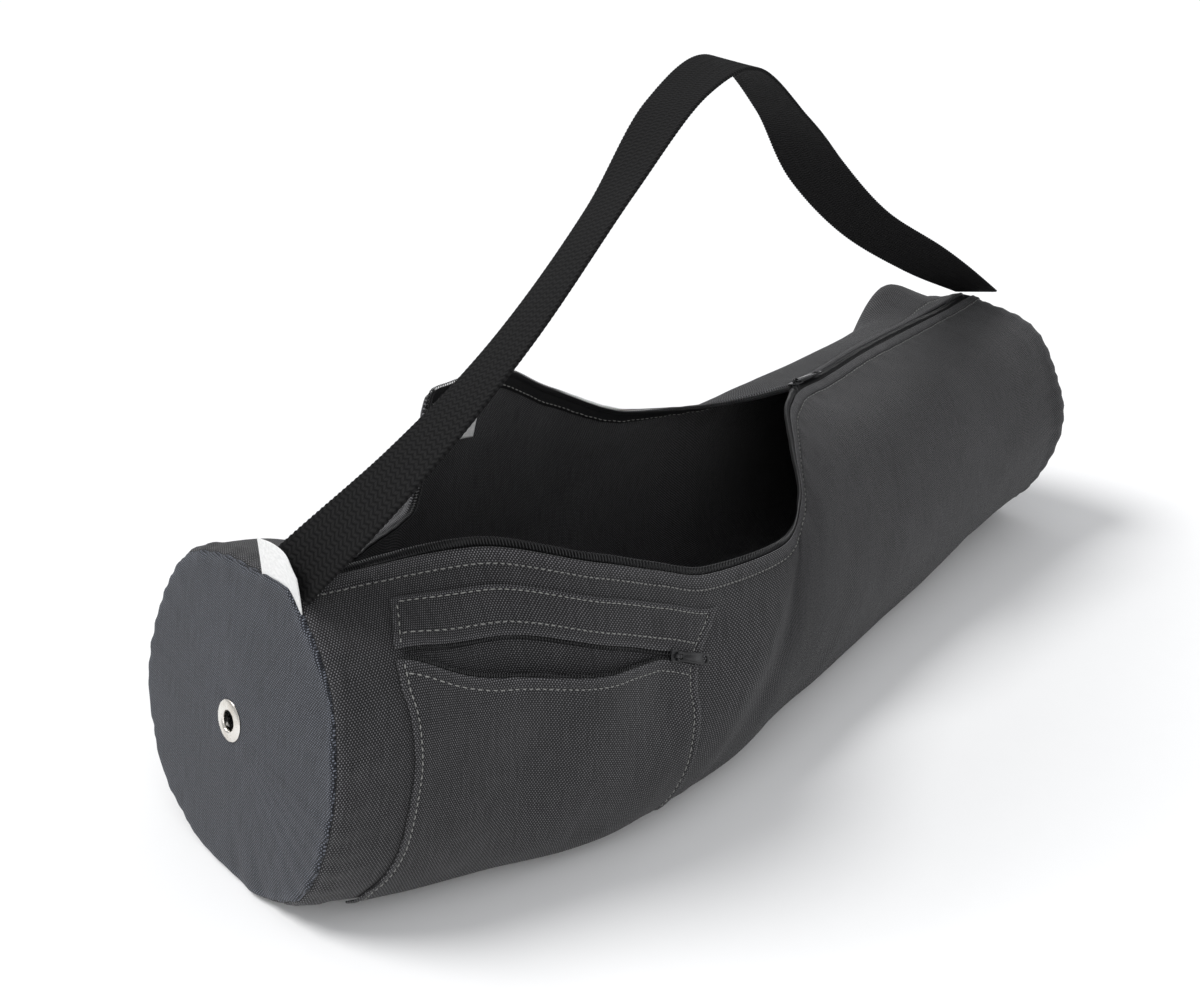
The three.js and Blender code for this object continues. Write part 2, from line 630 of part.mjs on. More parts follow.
function pocketBand() {
  const shares = [pocketTop, (pocketTop + bandFoot) / 2, bandFoot];
  const rises = [0, 0, SLOT_RISE];
  const grid = (lift) =>
    pocketRows.map((row) => shares.map((share, i) => place(row(share), share, lift + rises[i])));
  return sheet(grid(LAY_GAP + POCKET_CLOTH), grid(LAY_GAP));
}

function pocketPanel() {
  const feet = pocketRows.map(panelFoot);
  const columns = bodyShares.filter((share) => share > bandFoot && share < Math.max(...feet));
  const grid = (lift) =>
    pocketRows.map((row, i) => {
      const top = panelTop + slotSag(row(panelTop));
      const shares = [top, ...columns.slice(1), feet[i]];
      return shares.map((share) => {
        const held = Math.min(Math.max(share, top), feet[i]);
        const pouch = slotPouch(row(held), (held - top) / (feet[i] - top));
        return place(row(held), held, lift + pouch);
      });
    });
  return sheet(grid(PANEL_GAP + POCKET_CLOTH), grid(PANEL_GAP));
}
add("pocket_band", pocketBand(), canvas);
add("pocket_panel", pocketPanel(), canvas);

const pocketCoilRows = rowsBetween(
  seamAt(POCKET_FROM, bandFoot) + POCKET_ZIP_INSET,
  seamAt(POCKET_TO, bandFoot) - POCKET_ZIP_INSET,
);
const POCKET_COIL_LIFT = POCKET_PLATE + SEW_GAP * 2 + POCKET_COIL;

function pocketCoil(share, pouched) {
  const stand = (x) => (pouched ? POCKET_POUCH * slotOpen(x) : 0);
  return loft(
    pocketCoilRows.map((x) =>
      range(COIL_SIDES + 1, 0, 2 * Math.PI)
        .slice(1)
        .map((angle) => {
          const down = share(x) + (POCKET_COIL * Math.cos(angle)) / nominalGirth;
          return place(x, down, POCKET_COIL_LIFT + stand(x) + POCKET_COIL * Math.sin(angle));
        }),
    ),
  );
}
const coilInset = (POCKET_COIL + SEW_GAP) / nominalGirth;
add("pocket_coil_upper", pocketCoil(() => bandFoot + coilInset, false), zipNylon);
add("pocket_coil_lower", pocketCoil((x) => panelTop + slotSag(x) - coilInset, true), zipNylon);

// Sliders: in each one's own frame X runs to the closed side of the zip and Z out of the cloth
function solid(geometry) {
  const plain = geometry.clone();
  plain.deleteAttribute("normal");
  plain.deleteAttribute("uv");
  const merged = mergeVertices(plain, 1e-4);
  return new wasm.Manifold(
    new wasm.Mesh({
      numProp: 3,
      vertProperties: merged.attributes.position.array,
      triVerts: new Uint32Array(merged.index.array),
    }),
  );
}

function joined(geometries) {
  const whole = geometries.map(solid).reduce((sum, next) => sum.add(next)).getMesh();
  const geometry = new THREE.BufferGeometry();
  geometry.setAttribute("position", new THREE.BufferAttribute(whole.vertProperties, 3));
  geometry.setIndex(new THREE.BufferAttribute(whole.triVerts, 1));
  return geometry.toNonIndexed();
}

function block([x0, x1], [y0, y1], [z0, z1]) {
  const box = new THREE.BoxGeometry(x1 - x0, y1 - y0, z1 - z0);
  return box.translate((x0 + x1) / 2, (y0 + y1) / 2, (z0 + z1) / 2);
}

function plate(length, width, z0, thickness) {
  const end = length / 2;
  const side = width / 2;
  const outline = new THREE.Shape([
    new THREE.Vector2(-end + OPEN_CUT, -side),
    new THREE.Vector2(end - CLOSED_CUT, -side * CLOSED_SHOULDER),
    new THREE.Vector2(end, -side * CLOSED_NOSE),
    new THREE.Vector2(end, side * CLOSED_NOSE),
    new THREE.Vector2(end - CLOSED_CUT, side * CLOSED_SHOULDER),
    new THREE.Vector2(-end + OPEN_CUT, side),
    new THREE.Vector2(-end, side * OPEN_NOSE),
    new THREE.Vector2(-end, -side * OPEN_NOSE),
  ]);
  const slab = new THREE.ExtrudeGeometry(outline, { depth: thickness, bevelEnabled: false });
  return slab.translate(0, 0, z0);
}

function bridge(base) {
  const outer = BRIDGE_BORE + BRIDGE_BAR;
  const root = -PLATE / 2;
  const outline = new THREE.Shape();
  outline.moveTo(outer, root);
  outline.lineTo(outer, BRIDGE_RISE);
  outline.absarc(0, BRIDGE_RISE, outer, 0, Math.PI);
  outline.lineTo(-outer, root);
  outline.lineTo(-BRIDGE_BORE, root);
  outline.lineTo(-BRIDGE_BORE, BRIDGE_RISE);
  outline.absarc(0, BRIDGE_RISE, BRIDGE_BORE, Math.PI, 0, true);
  outline.lineTo(BRIDGE_BORE, root);
  outline.closePath();
  const arch = new THREE.ExtrudeGeometry(outline, {
    depth: BRIDGE_WIDTH,
    bevelEnabled: false,
    curveSegments: 8,
  });
  arch.rotateX(Math.PI / 2);
  return arch.translate(0, BRIDGE_WIDTH / 2, base);
}

function slider({ length, width, wedge, coil, tape, thickness }) {
  const upper = coil + SEW_GAP;
  const lower = -coil - SEW_GAP - tape;
  const open = -length / 2 + WEDGE_SETBACK;
  return joined([
    plate(length, width, upper, thickness),
    plate(length, width, lower - thickness, thickness),
    block([open, open + PLATE], [-wedge / 2, wedge / 2], [lower - thickness / 2, upper + thickness / 2]),
    bridge(upper + thickness),
  ]);
}

function pull(length, width, eyeRadius) {
  const bar = PULL_THICKNESS / 2;
  const half = width / 2;
  const neck = BRIDGE_WIDTH / 2 + NECK_ROOM;
  const slotEnd = BRIDGE_BORE + BRIDGE_BAR + SWING_ROOM;
  const outline = new THREE.Shape();
  outline.moveTo(-bar, -half * PULL_NECK);
  outline.lineTo(bar, -half * PULL_NECK);
  outline.lineTo(length - half, -half);
  outline.absarc(length - half, 0, half, -Math.PI / 2, Math.PI / 2);
  outline.lineTo(bar, half * PULL_NECK);
  outline.lineTo(-bar, half * PULL_NECK);
  outline.closePath();
  const slot = new THREE.Path();
  slot.moveTo(bar, -neck);
  slot.lineTo(bar, neck);
  slot.lineTo(slotEnd, neck);
  slot.lineTo(slotEnd, -neck);
  slot.closePath();
  const eye = new THREE.Path();
  eye.absellipse(length - half - EYE_SETBACK, 0, eyeRadius, eyeRadius, 0, 2 * Math.PI, true);
  outline.holes.push(slot, eye);
  const slab = new THREE.ExtrudeGeometry(outline, {
    depth: PULL_THICKNESS,
    bevelEnabled: false,
    curveSegments: 8,
  });
  return slab.translate(0, 0, -PULL_THICKNESS / 2);
}

// A frame at a place: X along the zip towards its closed side, Z out of the cloth
function frameAt(origin, ahead, out) {
  const x = ahead.clone().normalize();
  const z = out.clone().addScaledVector(x, -out.dot(x)).normalize();
  const y = z.clone().cross(x);
  return new THREE.Matrix4().makeBasis(x, y, z).setPosition(origin);
}

function zipMiddle(station) {
  const front = beside(0, station, COIL_OUT, COIL_LIFT);
  return front.lerp(beside(1, station, COIL_OUT, COIL_LIFT), 0.5);
}

// A slider where it has stopped, and its pull lying back over the closed stretch
function addSlider(prefix, frame, sizes) {
  add(`${prefix}_slider`, slider(sizes), sliderMetal).applyMatrix4(frame);
  const height = sizes.coil + SEW_GAP + sizes.thickness + BRIDGE_RISE;
  const hinge = frame.clone().multiply(new THREE.Matrix4().makeTranslation(0, 0, height));
  const lever = pull(sizes.pullLength, sizes.pullWidth, sizes.pullEye);
  add(`${prefix}_pull`, lever, sliderMetal).applyMatrix4(hinge);
}

function outOf(station, share) {
  return place(station, share, 1).sub(place(station, share, 0));
}

addSlider(
  "zip",
  frameAt(
    zipMiddle(SLIDER_AT),
    zipMiddle(SLIDER_AT + SLIDER_LENGTH).sub(zipMiddle(SLIDER_AT)),
    outOf(SLIDER_AT, 0).add(outOf(SLIDER_AT, 1)),
  ),
  {
    length: SLIDER_LENGTH,
    width: SLIDER_WIDTH,
    wedge: WEDGE_WIDTH,
    coil: COIL_RADIUS,
    tape: TAPE_THICKNESS,
    thickness: PLATE,
    pullLength: PULL_LENGTH,
    pullWidth: PULL_WIDTH,
    pullEye: PULL_EYE,
  },
);

const slotMiddle = (bandFoot + panelTop) / 2;
const onSlot = (station, lift) => place(station, slotMiddle, lift);
addSlider(
  "pocket",
  frameAt(
    onSlot(POCKET_SLIDER_AT, POCKET_COIL_LIFT),
    onSlot(seamAt(POCKET_TO, slotMiddle), POCKET_COIL_LIFT).sub(onSlot(POCKET_SLIDER_AT, POCKET_COIL_LIFT)),
    onSlot(POCKET_SLIDER_AT, 1).sub(onSlot(POCKET_SLIDER_AT, 0)),
  ),
  {
    length: POCKET_SLIDER_LENGTH,
    width: POCKET_SLIDER_WIDTH,
    wedge: POCKET_WEDGE,
    coil: POCKET_COIL,
    tape: 0,
    thickness: POCKET_PLATE,
    pullLength: POCKET_PULL_LENGTH,
    pullWidth: POCKET_PULL_WIDTH,
    pullEye: POCKET_PULL_EYE,
  },
);

// Labels, both blank
function seamLabel() {
  const { normal } = seamPlane(0);
  const share = SEAM_LABEL_SPAN / nominalGirth;
  const base = [1 - share, 1 - share / 2, 1, 0, share / 2, share].map((s) => place(0, s, SEW_GAP));
  const up = new THREE.Vector3(0, 0, 1);
  const grid = (out) =>
    [0, 0.5, 1].map((rise) =>
      base.map((p) =>
        p.clone().addScaledVector(normal, out).addScaledVector(up, rise * SEAM_LABEL_HEIGHT),
      ),
    );
  return sheet(grid(LABEL_THICKNESS + SEW_GAP), grid(SEW_GAP));
}
add("seam_label", seamLabel(), labelCloth);

function careLabel() {
  const rows = rowsBetween(CARE_LABEL_FROM, CARE_LABEL_FROM + CARE_LABEL_WIDTH);
  const shares = range(4, CARE_LABEL_DROP, CARE_LABEL_DROP + CARE_LABEL_HEIGHT)
    .map((drop) => 1 - drop / nominalGirth);
  const grid = (lift) => rows.map((x) => shares.map((share) => place(x, share, lift)));
  const face = -CANVAS - LAY_GAP;
  return sheet(grid(face), grid(face - LABEL_THICKNESS));
}
add("care_label", careLabel(), labelCloth);

bag.updateMatrixWorld(true);

const box = new THREE.Box3().setFromObject(bag, true);
const centre = box.getCenter(new THREE.Vector3());
bag.position.set(-centre.x, -centre.y, -box.min.z);

export default bag;
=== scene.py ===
"""Bag for a rolled exercise mat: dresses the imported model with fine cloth, webbing, zips, metal and stitches.

Sizes are in millimetres in the bag's own coordinates until a mesh is made, and in metres of the
part's frame after it.
"""
import json
import math

import bpy
import numpy as np
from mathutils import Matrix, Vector


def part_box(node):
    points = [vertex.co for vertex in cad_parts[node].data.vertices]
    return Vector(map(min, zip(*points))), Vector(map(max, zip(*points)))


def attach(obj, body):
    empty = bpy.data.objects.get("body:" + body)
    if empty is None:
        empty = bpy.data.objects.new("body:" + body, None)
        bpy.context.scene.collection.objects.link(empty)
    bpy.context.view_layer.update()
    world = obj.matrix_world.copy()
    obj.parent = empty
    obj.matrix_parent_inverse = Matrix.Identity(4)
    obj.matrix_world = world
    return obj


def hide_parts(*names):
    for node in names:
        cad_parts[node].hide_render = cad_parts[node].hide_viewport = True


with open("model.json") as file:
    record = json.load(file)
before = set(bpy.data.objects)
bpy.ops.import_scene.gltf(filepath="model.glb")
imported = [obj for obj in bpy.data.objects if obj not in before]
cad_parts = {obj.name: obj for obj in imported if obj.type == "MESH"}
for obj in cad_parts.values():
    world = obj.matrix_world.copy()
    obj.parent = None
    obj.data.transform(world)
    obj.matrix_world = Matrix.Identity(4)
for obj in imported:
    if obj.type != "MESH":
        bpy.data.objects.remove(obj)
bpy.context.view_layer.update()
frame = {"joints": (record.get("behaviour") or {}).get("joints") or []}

MM = 0.001

# Driving sizes of the bag, as in the part's source
BAG_LENGTH = 703
BAG_RADIUS = 89
CANVAS = 1.5
SEW_GAP = 0.3
LAY_GAP = 0.6
LIP_SPACING = 9.6
NEAR_BULGE = 2
FAR_BULGE = 9
TAPE_WIDTH = 12
TAPE_THICKNESS = 0.6
COIL_RADIUS = 1.3
COIL_ROOM = 0.8
ZIP_END = 7
SLIDER_AT = 0.643 * BAG_LENGTH
SLIDER_LENGTH = 10
SLIDER_WIDTH = 9.4
PLATE = 1.2
BRIDGE_WIDTH = 2
BRIDGE_BORE = 1.2
BRIDGE_RISE = 0.95
PULL_LENGTH = 26
PULL_WIDTH = 8
PULL_THICKNESS = 1.2
PULL_EYE = 2.3
EYELET_BORE = 5.4
EYELET_METAL = 0.7
EYELET_FIT = 0.6
STRAP_WIDTH = 38
STRAP_THICKNESS = 2
POCKET_FROM = 36
POCKET_TO = 190
POCKET_DROP = 18.5
BAND_HEIGHT = 25
POCKET_CLOTH = 1.2
PANEL_GAP = 0.9
POCKET_SAG = 14
POCKET_POUCH = 9
POCKET_FOOT = 9
POCKET_COIL = 0.75
POCKET_SLIDER_AT = 174
POCKET_SLIDER_LENGTH = 8.5
POCKET_SLIDER_WIDTH = 7.4
POCKET_PULL_LENGTH = 25
POCKET_PULL_WIDTH = 6.8
POCKET_PULL_EYE = 1.9
POCKET_PLATE = 0.8
SLOT_RISE = 0.9
POCKET_ZIP_INSET = 5
POCKET_SLOT = 4.6
LABEL_THICKNESS = 0.6
SEAM_LABEL_HEIGHT = 19
SEAM_LABEL_SPAN = 15
CARE_LABEL_FROM = 214
CARE_LABEL_WIDTH = 24
CARE_LABEL_DROP = 16
CARE_LABEL_HEIGHT = 34
WIDEST = 0.207
STRAP_STEPS = 40

# How the pocket's side seams stray along the bag on their way down from the mouth
POCKET_SWAY = (
    (18, 7.5),
    (30, 2),
    (41, -3),
    (50, -5),
    (60, -4.5),
    (72, -1.5),
    (84, 0),
    (98, 1),
    (117, 0),
    (138, -1),
    (153, -4),
    (166, -10),
)

# Cross-sections along the bag, as shares of its length and radius
SECTION_COLUMNS = ("at", "front_lean", "rear_lean", "front_high", "front_belly", "front_foot",
                   "rear_foot", "rear_belly", "rear_high")
SECTIONS = (
    (0, 0.4, 0.4, (-0.85, 1.53), (-0.99, 0.85), -0.27, 0.29, (1.11, 0.88), (0.74, 1.72)),
    (0.043, 0.38, 0.38, (-0.96, 1.55), (-1.1, 0.76), -0.56, 0.49, (1.17, 0.81), (0.76, 1.66)),
    (0.135, 0.17, 0.13, (-1.17, 1.44), (-1.27, 0.63), -0.99, 0.76, (1.19, 0.67), (0.76, 1.44)),
    (0.213, 0.31, 0, (-1.37, 1.21), (-1.49, 0.54), -1.24, 0.85, (1.19, 0.63), (0.97, 1.26)),
    (0.245, 0.49, 0, (-1.4, 1.09), (-1.53, 0.51), -1.26, 0.87, (1.19, 0.67), (1.03, 1.39)),
    (0.277, 0.7, 0, (-1.42, 0.97), (-1.54, 0.47), -1.28, 0.88, (1.19, 0.72), (1.06, 1.57)),
    (0.341, 1.15, 0, (-1.33, 0.88), (-1.53, 0.45), -1.3, 0.88, (1.17, 0.74), (1.03, 1.6)),
    (0.413, 0.92, 0, (-1.24, 1.03), (-1.44, 0.54), -1.24, 0.83, (1.1, 0.7), (0.99, 1.44)),
    (0.491, 0.58, 0, (-1.06, 1.28), (-1.35, 0.61), -1.15, 0.74, (1.01, 0.67), (0.85, 1.37)),
    (0.569, 0.3, 0, (-0.88, 1.51), (-1.26, 0.7), -1.06, 0.65, (0.92, 0.67), (0.7, 1.46)),
    (0.656, 0, 0, (-0.76, 1.62), (-1.18, 0.79), -0.96, 0.58, (0.85, 0.7), (0.56, 1.61)),
    (0.768, 0, 0, (-0.71, 1.66), (-1.09, 0.85), -0.79, 0.54, (0.9, 0.74), (0.61, 1.63)),
    (0.893, 0.02, 0.02, (-0.69, 1.71), (-1.02, 0.94), -0.47, 0.43, (0.98, 0.85), (0.69, 1.71)),
    (0.945, 0.04, 0.04, (-0.67, 1.73), (-1.01, 0.97), -0.34, 0.34, (1.01, 0.97), (0.74, 2.03)),
    (0.982, 0.07, 0.07, (-0.67, 1.75), (-1, 0.99), -0.25, 0.27, (1.01, 0.94), (0.7, 1.8)),
    (1, 0.09, 0.09, (-0.65, 1.75), (-1, 0.99), -0.18, 0.18, (1, 0.99), (0.74, 1.71)),
)

# The zip's middle line, and how far each lip stands away from it
MOUTH_COLUMNS = ("at", "zip", "front_gape", "rear_gape")
MOUTH = (
    (0, (-0.36, 1.93), (0, 0), (0, 0)),
    (0.043, (-0.38, 1.92), (-0.04, 0), (0.09, -0.02)),
    (0.135, (-0.36, 1.89), (-0.48, 0.15), (0.47, -0.22)),
    (0.213, (-0.34, 1.85), (-0.74, -0.09), (0.67, -0.19)),
    (0.245, (-0.31, 1.85), (-0.78, -0.29), (0.81, 0.01)),
    (0.277, (-0.29, 1.85), (-0.8, -0.49), (0.97, 0.42)),
    (0.341, (-0.22, 1.85), (-0.76, -0.65), (0.9, 0.44)),
    (0.413, (-0.19, 1.85), (-0.66, -0.49), (0.87, 0.16)),
    (0.491, (-0.17, 1.85), (-0.39, -0.22), (0.66, -0.1)),
    (0.569, (-0.15, 1.84), (-0.1, -0.04), (0.44, -0.14)),
    (0.656, (-0.12, 1.83), (0, 0), (0, 0)),
    (0.768, (-0.03, 1.89), (0, 0), (0, 0)),
    (0.893, (0.07, 1.92), (0, 0), (0, 0)),
    (0.945, (0.1, 1.94), (0, 0), (0, 0)),
    (0.982, (0.12, 1.97), (0, 0), (0, 0)),
    (1, (0.13, 1.98), (0, 0), (0, 0)),
)

# The strap's centre line and its turns in degrees: at, side, up, yaw and roll
STRAP_ROUTE = (
    (0.0025, -0.39, 1.965, -8, 22),
    (0.0699, -0.72, 2.52, -12, 5),
    (0.1605, -0.8, 3.06, -6, -14),
    (0.27, -0.73, 3.7, 0, -22),
    (0.3754, -0.5, 4.18, 16, -10),
    (0.4796, -0.26, 4.31, 9, 9),
    (0.5808, -0.08, 3.91, 13, 6),
    (0.6777, 0.12, 3.4, 26, -22),
    (0.7809, 0.17, 2.89, 18, -31),
    (0.8926, 0.1, 2.46, 16, -32),
    (1.0084, 0.04, 2.03, 10, -6),
)

# Levels of the zip and shares of the pocket, worked out as in the part's source
GIRTH = 2 * math.pi * BAG_RADIUS
COIL_LIFT = -CANVAS
COIL_OUT = LIP_SPACING / 2 - COIL_RADIUS - COIL_ROOM
TAPE_TOP = -CANVAS - SEW_GAP
TAPE_EDGE = COIL_OUT - COIL_RADIUS - SEW_GAP
BAND_FOOT = POCKET_DROP + BAND_HEIGHT
PANEL_TOP = BAND_FOOT + POCKET_SLOT
BAND_MIDDLE = (POCKET_DROP + BAND_FOOT) / 2
SLOT_MIDDLE = (BAND_FOOT + PANEL_TOP) / 2
POCKET_COIL_LIFT = POCKET_PLATE + SEW_GAP * 2 + POCKET_COIL


def unit(vectors):
    return vectors / np.linalg.norm(vectors, axis=-1, keepdims=True)


def along(xs, ys, x):
    """Interpolation down a column of a table, without overshoot between its rows."""
    secant = np.diff(ys) / np.diff(xs)
    before, after = secant[:-1], secant[1:]
    total = np.where(before * after > 0, before + after, 1)
    inner = np.where(before * after > 0, 2 * before * after / total, 0)
    m = np.concatenate([secant[:1], inner, secant[-1:]])
    i = np.clip(np.searchsorted(xs, x, side="right") - 1, 0, len(xs) - 2)
    step = xs[i + 1] - xs[i]
    t = np.clip((x - xs[i]) / step, 0, 1)
    ease = t * t * (3 - 2 * t)
    leave = t * (1 - t) ** 2 * step * m[i]
    arrive = t * t * (t - 1) * step * m[i + 1]
    return ys[i] + (ys[i + 1] - ys[i]) * ease + leave + arrive


def column(columns, table, name, at):
    """A named column of a table at a share of the bag's length: a number, or a (side, up) pair."""
    place = columns.index(name)
    xs = np.array([row[0] for row in table])
    values = np.array([row[place] for row in table], dtype=float)
    if values.ndim == 1:
        return float(along(xs, values, at))
    return np.array([float(along(xs, values[:, k], at)) for k in (0, 1)])


def walk(path):
    """Length of a path up to each of its points."""
    return np.concatenate([[0], np.cumsum(np.linalg.norm(np.diff(path, axis=0), axis=1))])


def catmull_rom(points, ts, power):
    """Catmull-Rom curve through points: power 0.5 is the centripetal kind, 0 the uniform one."""
    ends = (2 * points[0] - points[1], 2 * points[-1] - points[-2])
    padded = np.vstack([ends[0], points, ends[1]])
    spans = len(points) - 1
    place = np.clip(ts, 0, 1) * spans
    i = np.minimum(place.astype(int), spans - 1)
    w = (place - i)[:, None]
    p0, p1, p2, p3 = (padded[i + k] for k in range(4))
    d0, d1, d2 = (np.linalg.norm(b - a, axis=1)[:, None] ** power for a, b in ((p0, p1), (p1, p2), (p2, p3)))
    t1 = ((p1 - p0) / d0 - (p2 - p0) / (d0 + d1) + (p2 - p1) / d1) * d1
    t2 = ((p2 - p1) / d1 - (p3 - p1) / (d1 + d2) + (p3 - p2) / d2) * d1
    c2 = -3 * p1 + 3 * p2 - 2 * t1 - t2
    c3 = 2 * p1 - 2 * p2 + t1 + t2
    return p1 + t1 * w + c2 * w ** 2 + c3 * w ** 3


def section_points(at):
    """The eleven points of a cross-section, from the front lip down round the floor to the rear lip."""
    def body(name):
        return column(SECTION_COLUMNS, SECTIONS, name, at)

    zip_line, front_gape, rear_gape = (column(MOUTH_COLUMNS, MOUTH, name, at) for name in MOUTH_COLUMNS[1:])
    half = np.array([LIP_SPACING / 2 / BAG_RADIUS, 0])
    front, rear = body("front_foot"), body("rear_foot")

    def low(foot, belly):
        return np.array([foot + (belly[0] - foot) * math.sqrt(0.5), belly[1] * (1 - math.sqrt(0.5))])

    return BAG_RADIUS * np.array([
        zip_line + front_gape - half,
        body("front_high"),
        body("front_belly"),
        low(front, body("front_belly")),
        (front, 0),
        ((front + rear) / 2, 0),
        (rear, 0),
        low(rear, body("rear_belly")),
        body("rear_belly"),
        body("rear_high"),
        zip_line + rear_gape + half,
    ])


# The smooth cloth as a fine table of points and outward directions
GRID_ROWS = 704
GRID_COLUMNS = 561
ARC_DIVISIONS = 240


def cloth_tables():
    """Points of the outer face and its outward directions, on an even grid of stations and shares."""
    points = np.zeros((GRID_ROWS, GRID_COLUMNS, 3))
    ts = np.linspace(0, 1, ARC_DIVISIONS + 1)
    shares = np.linspace(0, 1, GRID_COLUMNS)
    for row, station in enumerate(np.linspace(0, BAG_LENGTH, GRID_ROWS)):
        at = station / BAG_LENGTH
        controls = section_points(at)
        coarse = catmull_rom(controls, ts, 0.5)
        walked = walk(coarse)
        curve = catmull_rom(controls, np.interp(shares * walked[-1], walked, ts), 0.5)
        side, up = curve[:, 0], np.maximum(curve[:, 1], 0)
        front = side < controls[5][0]
        leans = [column(SECTION_COLUMNS, SECTIONS, name, at) for name in ("front_lean", "rear_lean")]
        lean = np.where(front, leans[0] * up / controls[0][1], leans[1] * up / controls[-1][1])
        points[row] = np.stack([station + BAG_RADIUS * lean, side, up], axis=1)
    rows = np.arange(GRID_ROWS)
    columns = np.arange(GRID_COLUMNS)
    length = points[np.minimum(rows + 2, GRID_ROWS - 1)] - points[np.maximum(rows - 2, 0)]
    around = points[:, np.minimum(columns + 2, GRID_COLUMNS - 1)] - points[:, np.maximum(columns - 2, 0)]
    out = np.cross(around, length)
    return points, unit(out)


SKIN, OUTWARD = cloth_tables()


def between(table, i, j, t, u):
    """Values of a grid at shares t and u of the way across its cells."""
    near = table[i, j] * (1 - u) + table[i, j + 1] * u
    far = table[i + 1, j] * (1 - u) + table[i + 1, j + 1] * u
    return near * (1 - t) + far * t


def sample(table, station, mm):
    """A table of the cloth read at stations along the bag and millimetres of girth from the front lip."""
    r = np.clip(np.asarray(station, dtype=float) / BAG_LENGTH, 0, 1) * (GRID_ROWS - 1)
    c = np.clip(np.asarray(mm, dtype=float) / GIRTH, 0, 1) * (GRID_COLUMNS - 1)
    r, c = np.broadcast_arrays(r, c)
    i = np.minimum(r.astype(int), GRID_ROWS - 2)
    j = np.minimum(c.astype(int), GRID_COLUMNS - 2)
    t, u = r - i, c - j
    if table.ndim == 3:
        t, u = t[..., None], u[..., None]
    return between(table, i, j, t, u)


def soft_noise(shape, cells, seed):
    """Smooth noise of about unit height on a grid, with the given number of cells each way."""
    spots = np.random.RandomState(seed).normal(size=(cells[0] + 2, cells[1] + 2))

    def eased(count, cell_count):
        place = np.linspace(0, cell_count, count)
        whole = np.minimum(place.astype(int), cell_count - 1)
        part = place - whole
        return whole, part * part * (3 - 2 * part)

    i, t = eased(shape[0], cells[0])
    j, u = eased(shape[1], cells[1])
    return between(spots, i[:, None], j, t[:, None], u)


def bump(distance, width):
    return np.exp(-(distance / width) ** 2)


# Small shapes of the cloth: puckers along its seams, and soft waves as height, cells each way and seed
WAVES = ((0.55, 15, 12, 3), (0.32, 32, 26, 4))
SEAM_PUCKER = 0.55
SEAM_PUCKER_PITCH = 13
SEAM_REACH = 14
ZIP_PUCKER = 0.3
ZIP_PUCKER_PITCH = 17
SEAM_FOLD = 1.5
SEAM_FOLD_AT = 8
SEAM_FOLD_WIDTH = 5
FLAT_HEIGHT = 6

# A ridge down from the mouth's far corner, steep past its crest: millimetres down, and station
RIDGE = ((4, 262), (28, 232), (70, 214), (112, 204), (150, 200))
RIDGE_HEIGHT = 2.8
RIDGE_MIDDLE = 62
RIDGE_SPAN = 80
RIDGE_SLOPE = 26
RIDGE_DROP = 9
RIDGE_HOLLOW = 0.4
RIDGE_HOLLOW_AT = 17


def relief_table():
    """How far the cloth stands off its smooth shape, on the cloth's grid."""
    shape = (GRID_ROWS, GRID_COLUMNS)
    x = np.linspace(0, BAG_LENGTH, GRID_ROWS)[:, None]
    y = np.linspace(0, GIRTH, GRID_COLUMNS)[None, :]
    relief = sum(height * soft_noise(shape, (a, b), seed) for height, a, b, seed in WAVES)
    from_end = np.minimum(x, BAG_LENGTH - x)
    wander = 3 * soft_noise(shape, (4, 30), 5)
    ripple = np.sin(2 * math.pi * (y + wander) / SEAM_PUCKER_PITCH)
    relief = relief + SEAM_PUCKER * ripple * bump(from_end - SEAM_REACH / 3, SEAM_REACH)
    from_lip = np.minimum(y, GIRTH - y)
    ripple = np.sin(2 * math.pi * (x + 5 * soft_noise(shape, (30, 4), 6)) / ZIP_PUCKER_PITCH)
    relief = relief + ZIP_PUCKER * ripple * bump(from_lip - STITCH_ROW, 9)
    relief = relief + SEAM_FOLD * bump(from_end - SEAM_FOLD_AT, SEAM_FOLD_WIDTH)
    down, crest = (np.array(c, dtype=float) for c in zip(*RIDGE))
    beyond = x - np.interp(y, down, crest)
    fold = bump(beyond, np.where(beyond < 0, RIDGE_SLOPE, RIDGE_DROP))
    fold = fold - RIDGE_HOLLOW * bump(beyond - RIDGE_HOLLOW_AT, RIDGE_DROP)
    relief = relief + RIDGE_HEIGHT * fold * np.clip(1 - ((y - RIDGE_MIDDLE) / RIDGE_SPAN) ** 2, 0, 1)
    calm = (1 - bump(from_lip, 5)) * np.clip(SKIN[..., 2] / FLAT_HEIGHT, 0.15, 1)
    return relief * calm


HEM_RISE = 0.9
STITCH_ROW = 8.2
STITCH_GROOVE = 0.75
GROOVE_WIDTH = 1.1
LIP_GRIP = 5.5


def hem(from_edge):
    """Height of a folded and sewn edge at a distance from it: a soft roll as far as its row of stitches."""
    inside = np.clip(from_edge / STITCH_ROW, 0, 1)
    roll = HEM_RISE * np.sqrt(np.clip(1 - inside ** 4, 0, 1))
    return roll - STITCH_GROOVE * bump(from_edge - STITCH_ROW, GROOVE_WIDTH)


def rounding(from_edge, radius):
    """How far a rounded edge has dropped at a distance from it."""
    inside = np.clip(radius - from_edge, 0, radius)
    return radius - np.sqrt(np.maximum(radius ** 2 - inside ** 2, 0))


RELIEF = relief_table()


def on_cloth(station, mm, lift=0.0):
    """Places on the cloth, lifted off its outer face."""
    out = sample(OUTWARD, station, mm)
    stand = sample(RELIEF, station, mm) + lift
    return sample(SKIN, station, mm) + out * stand[..., None]


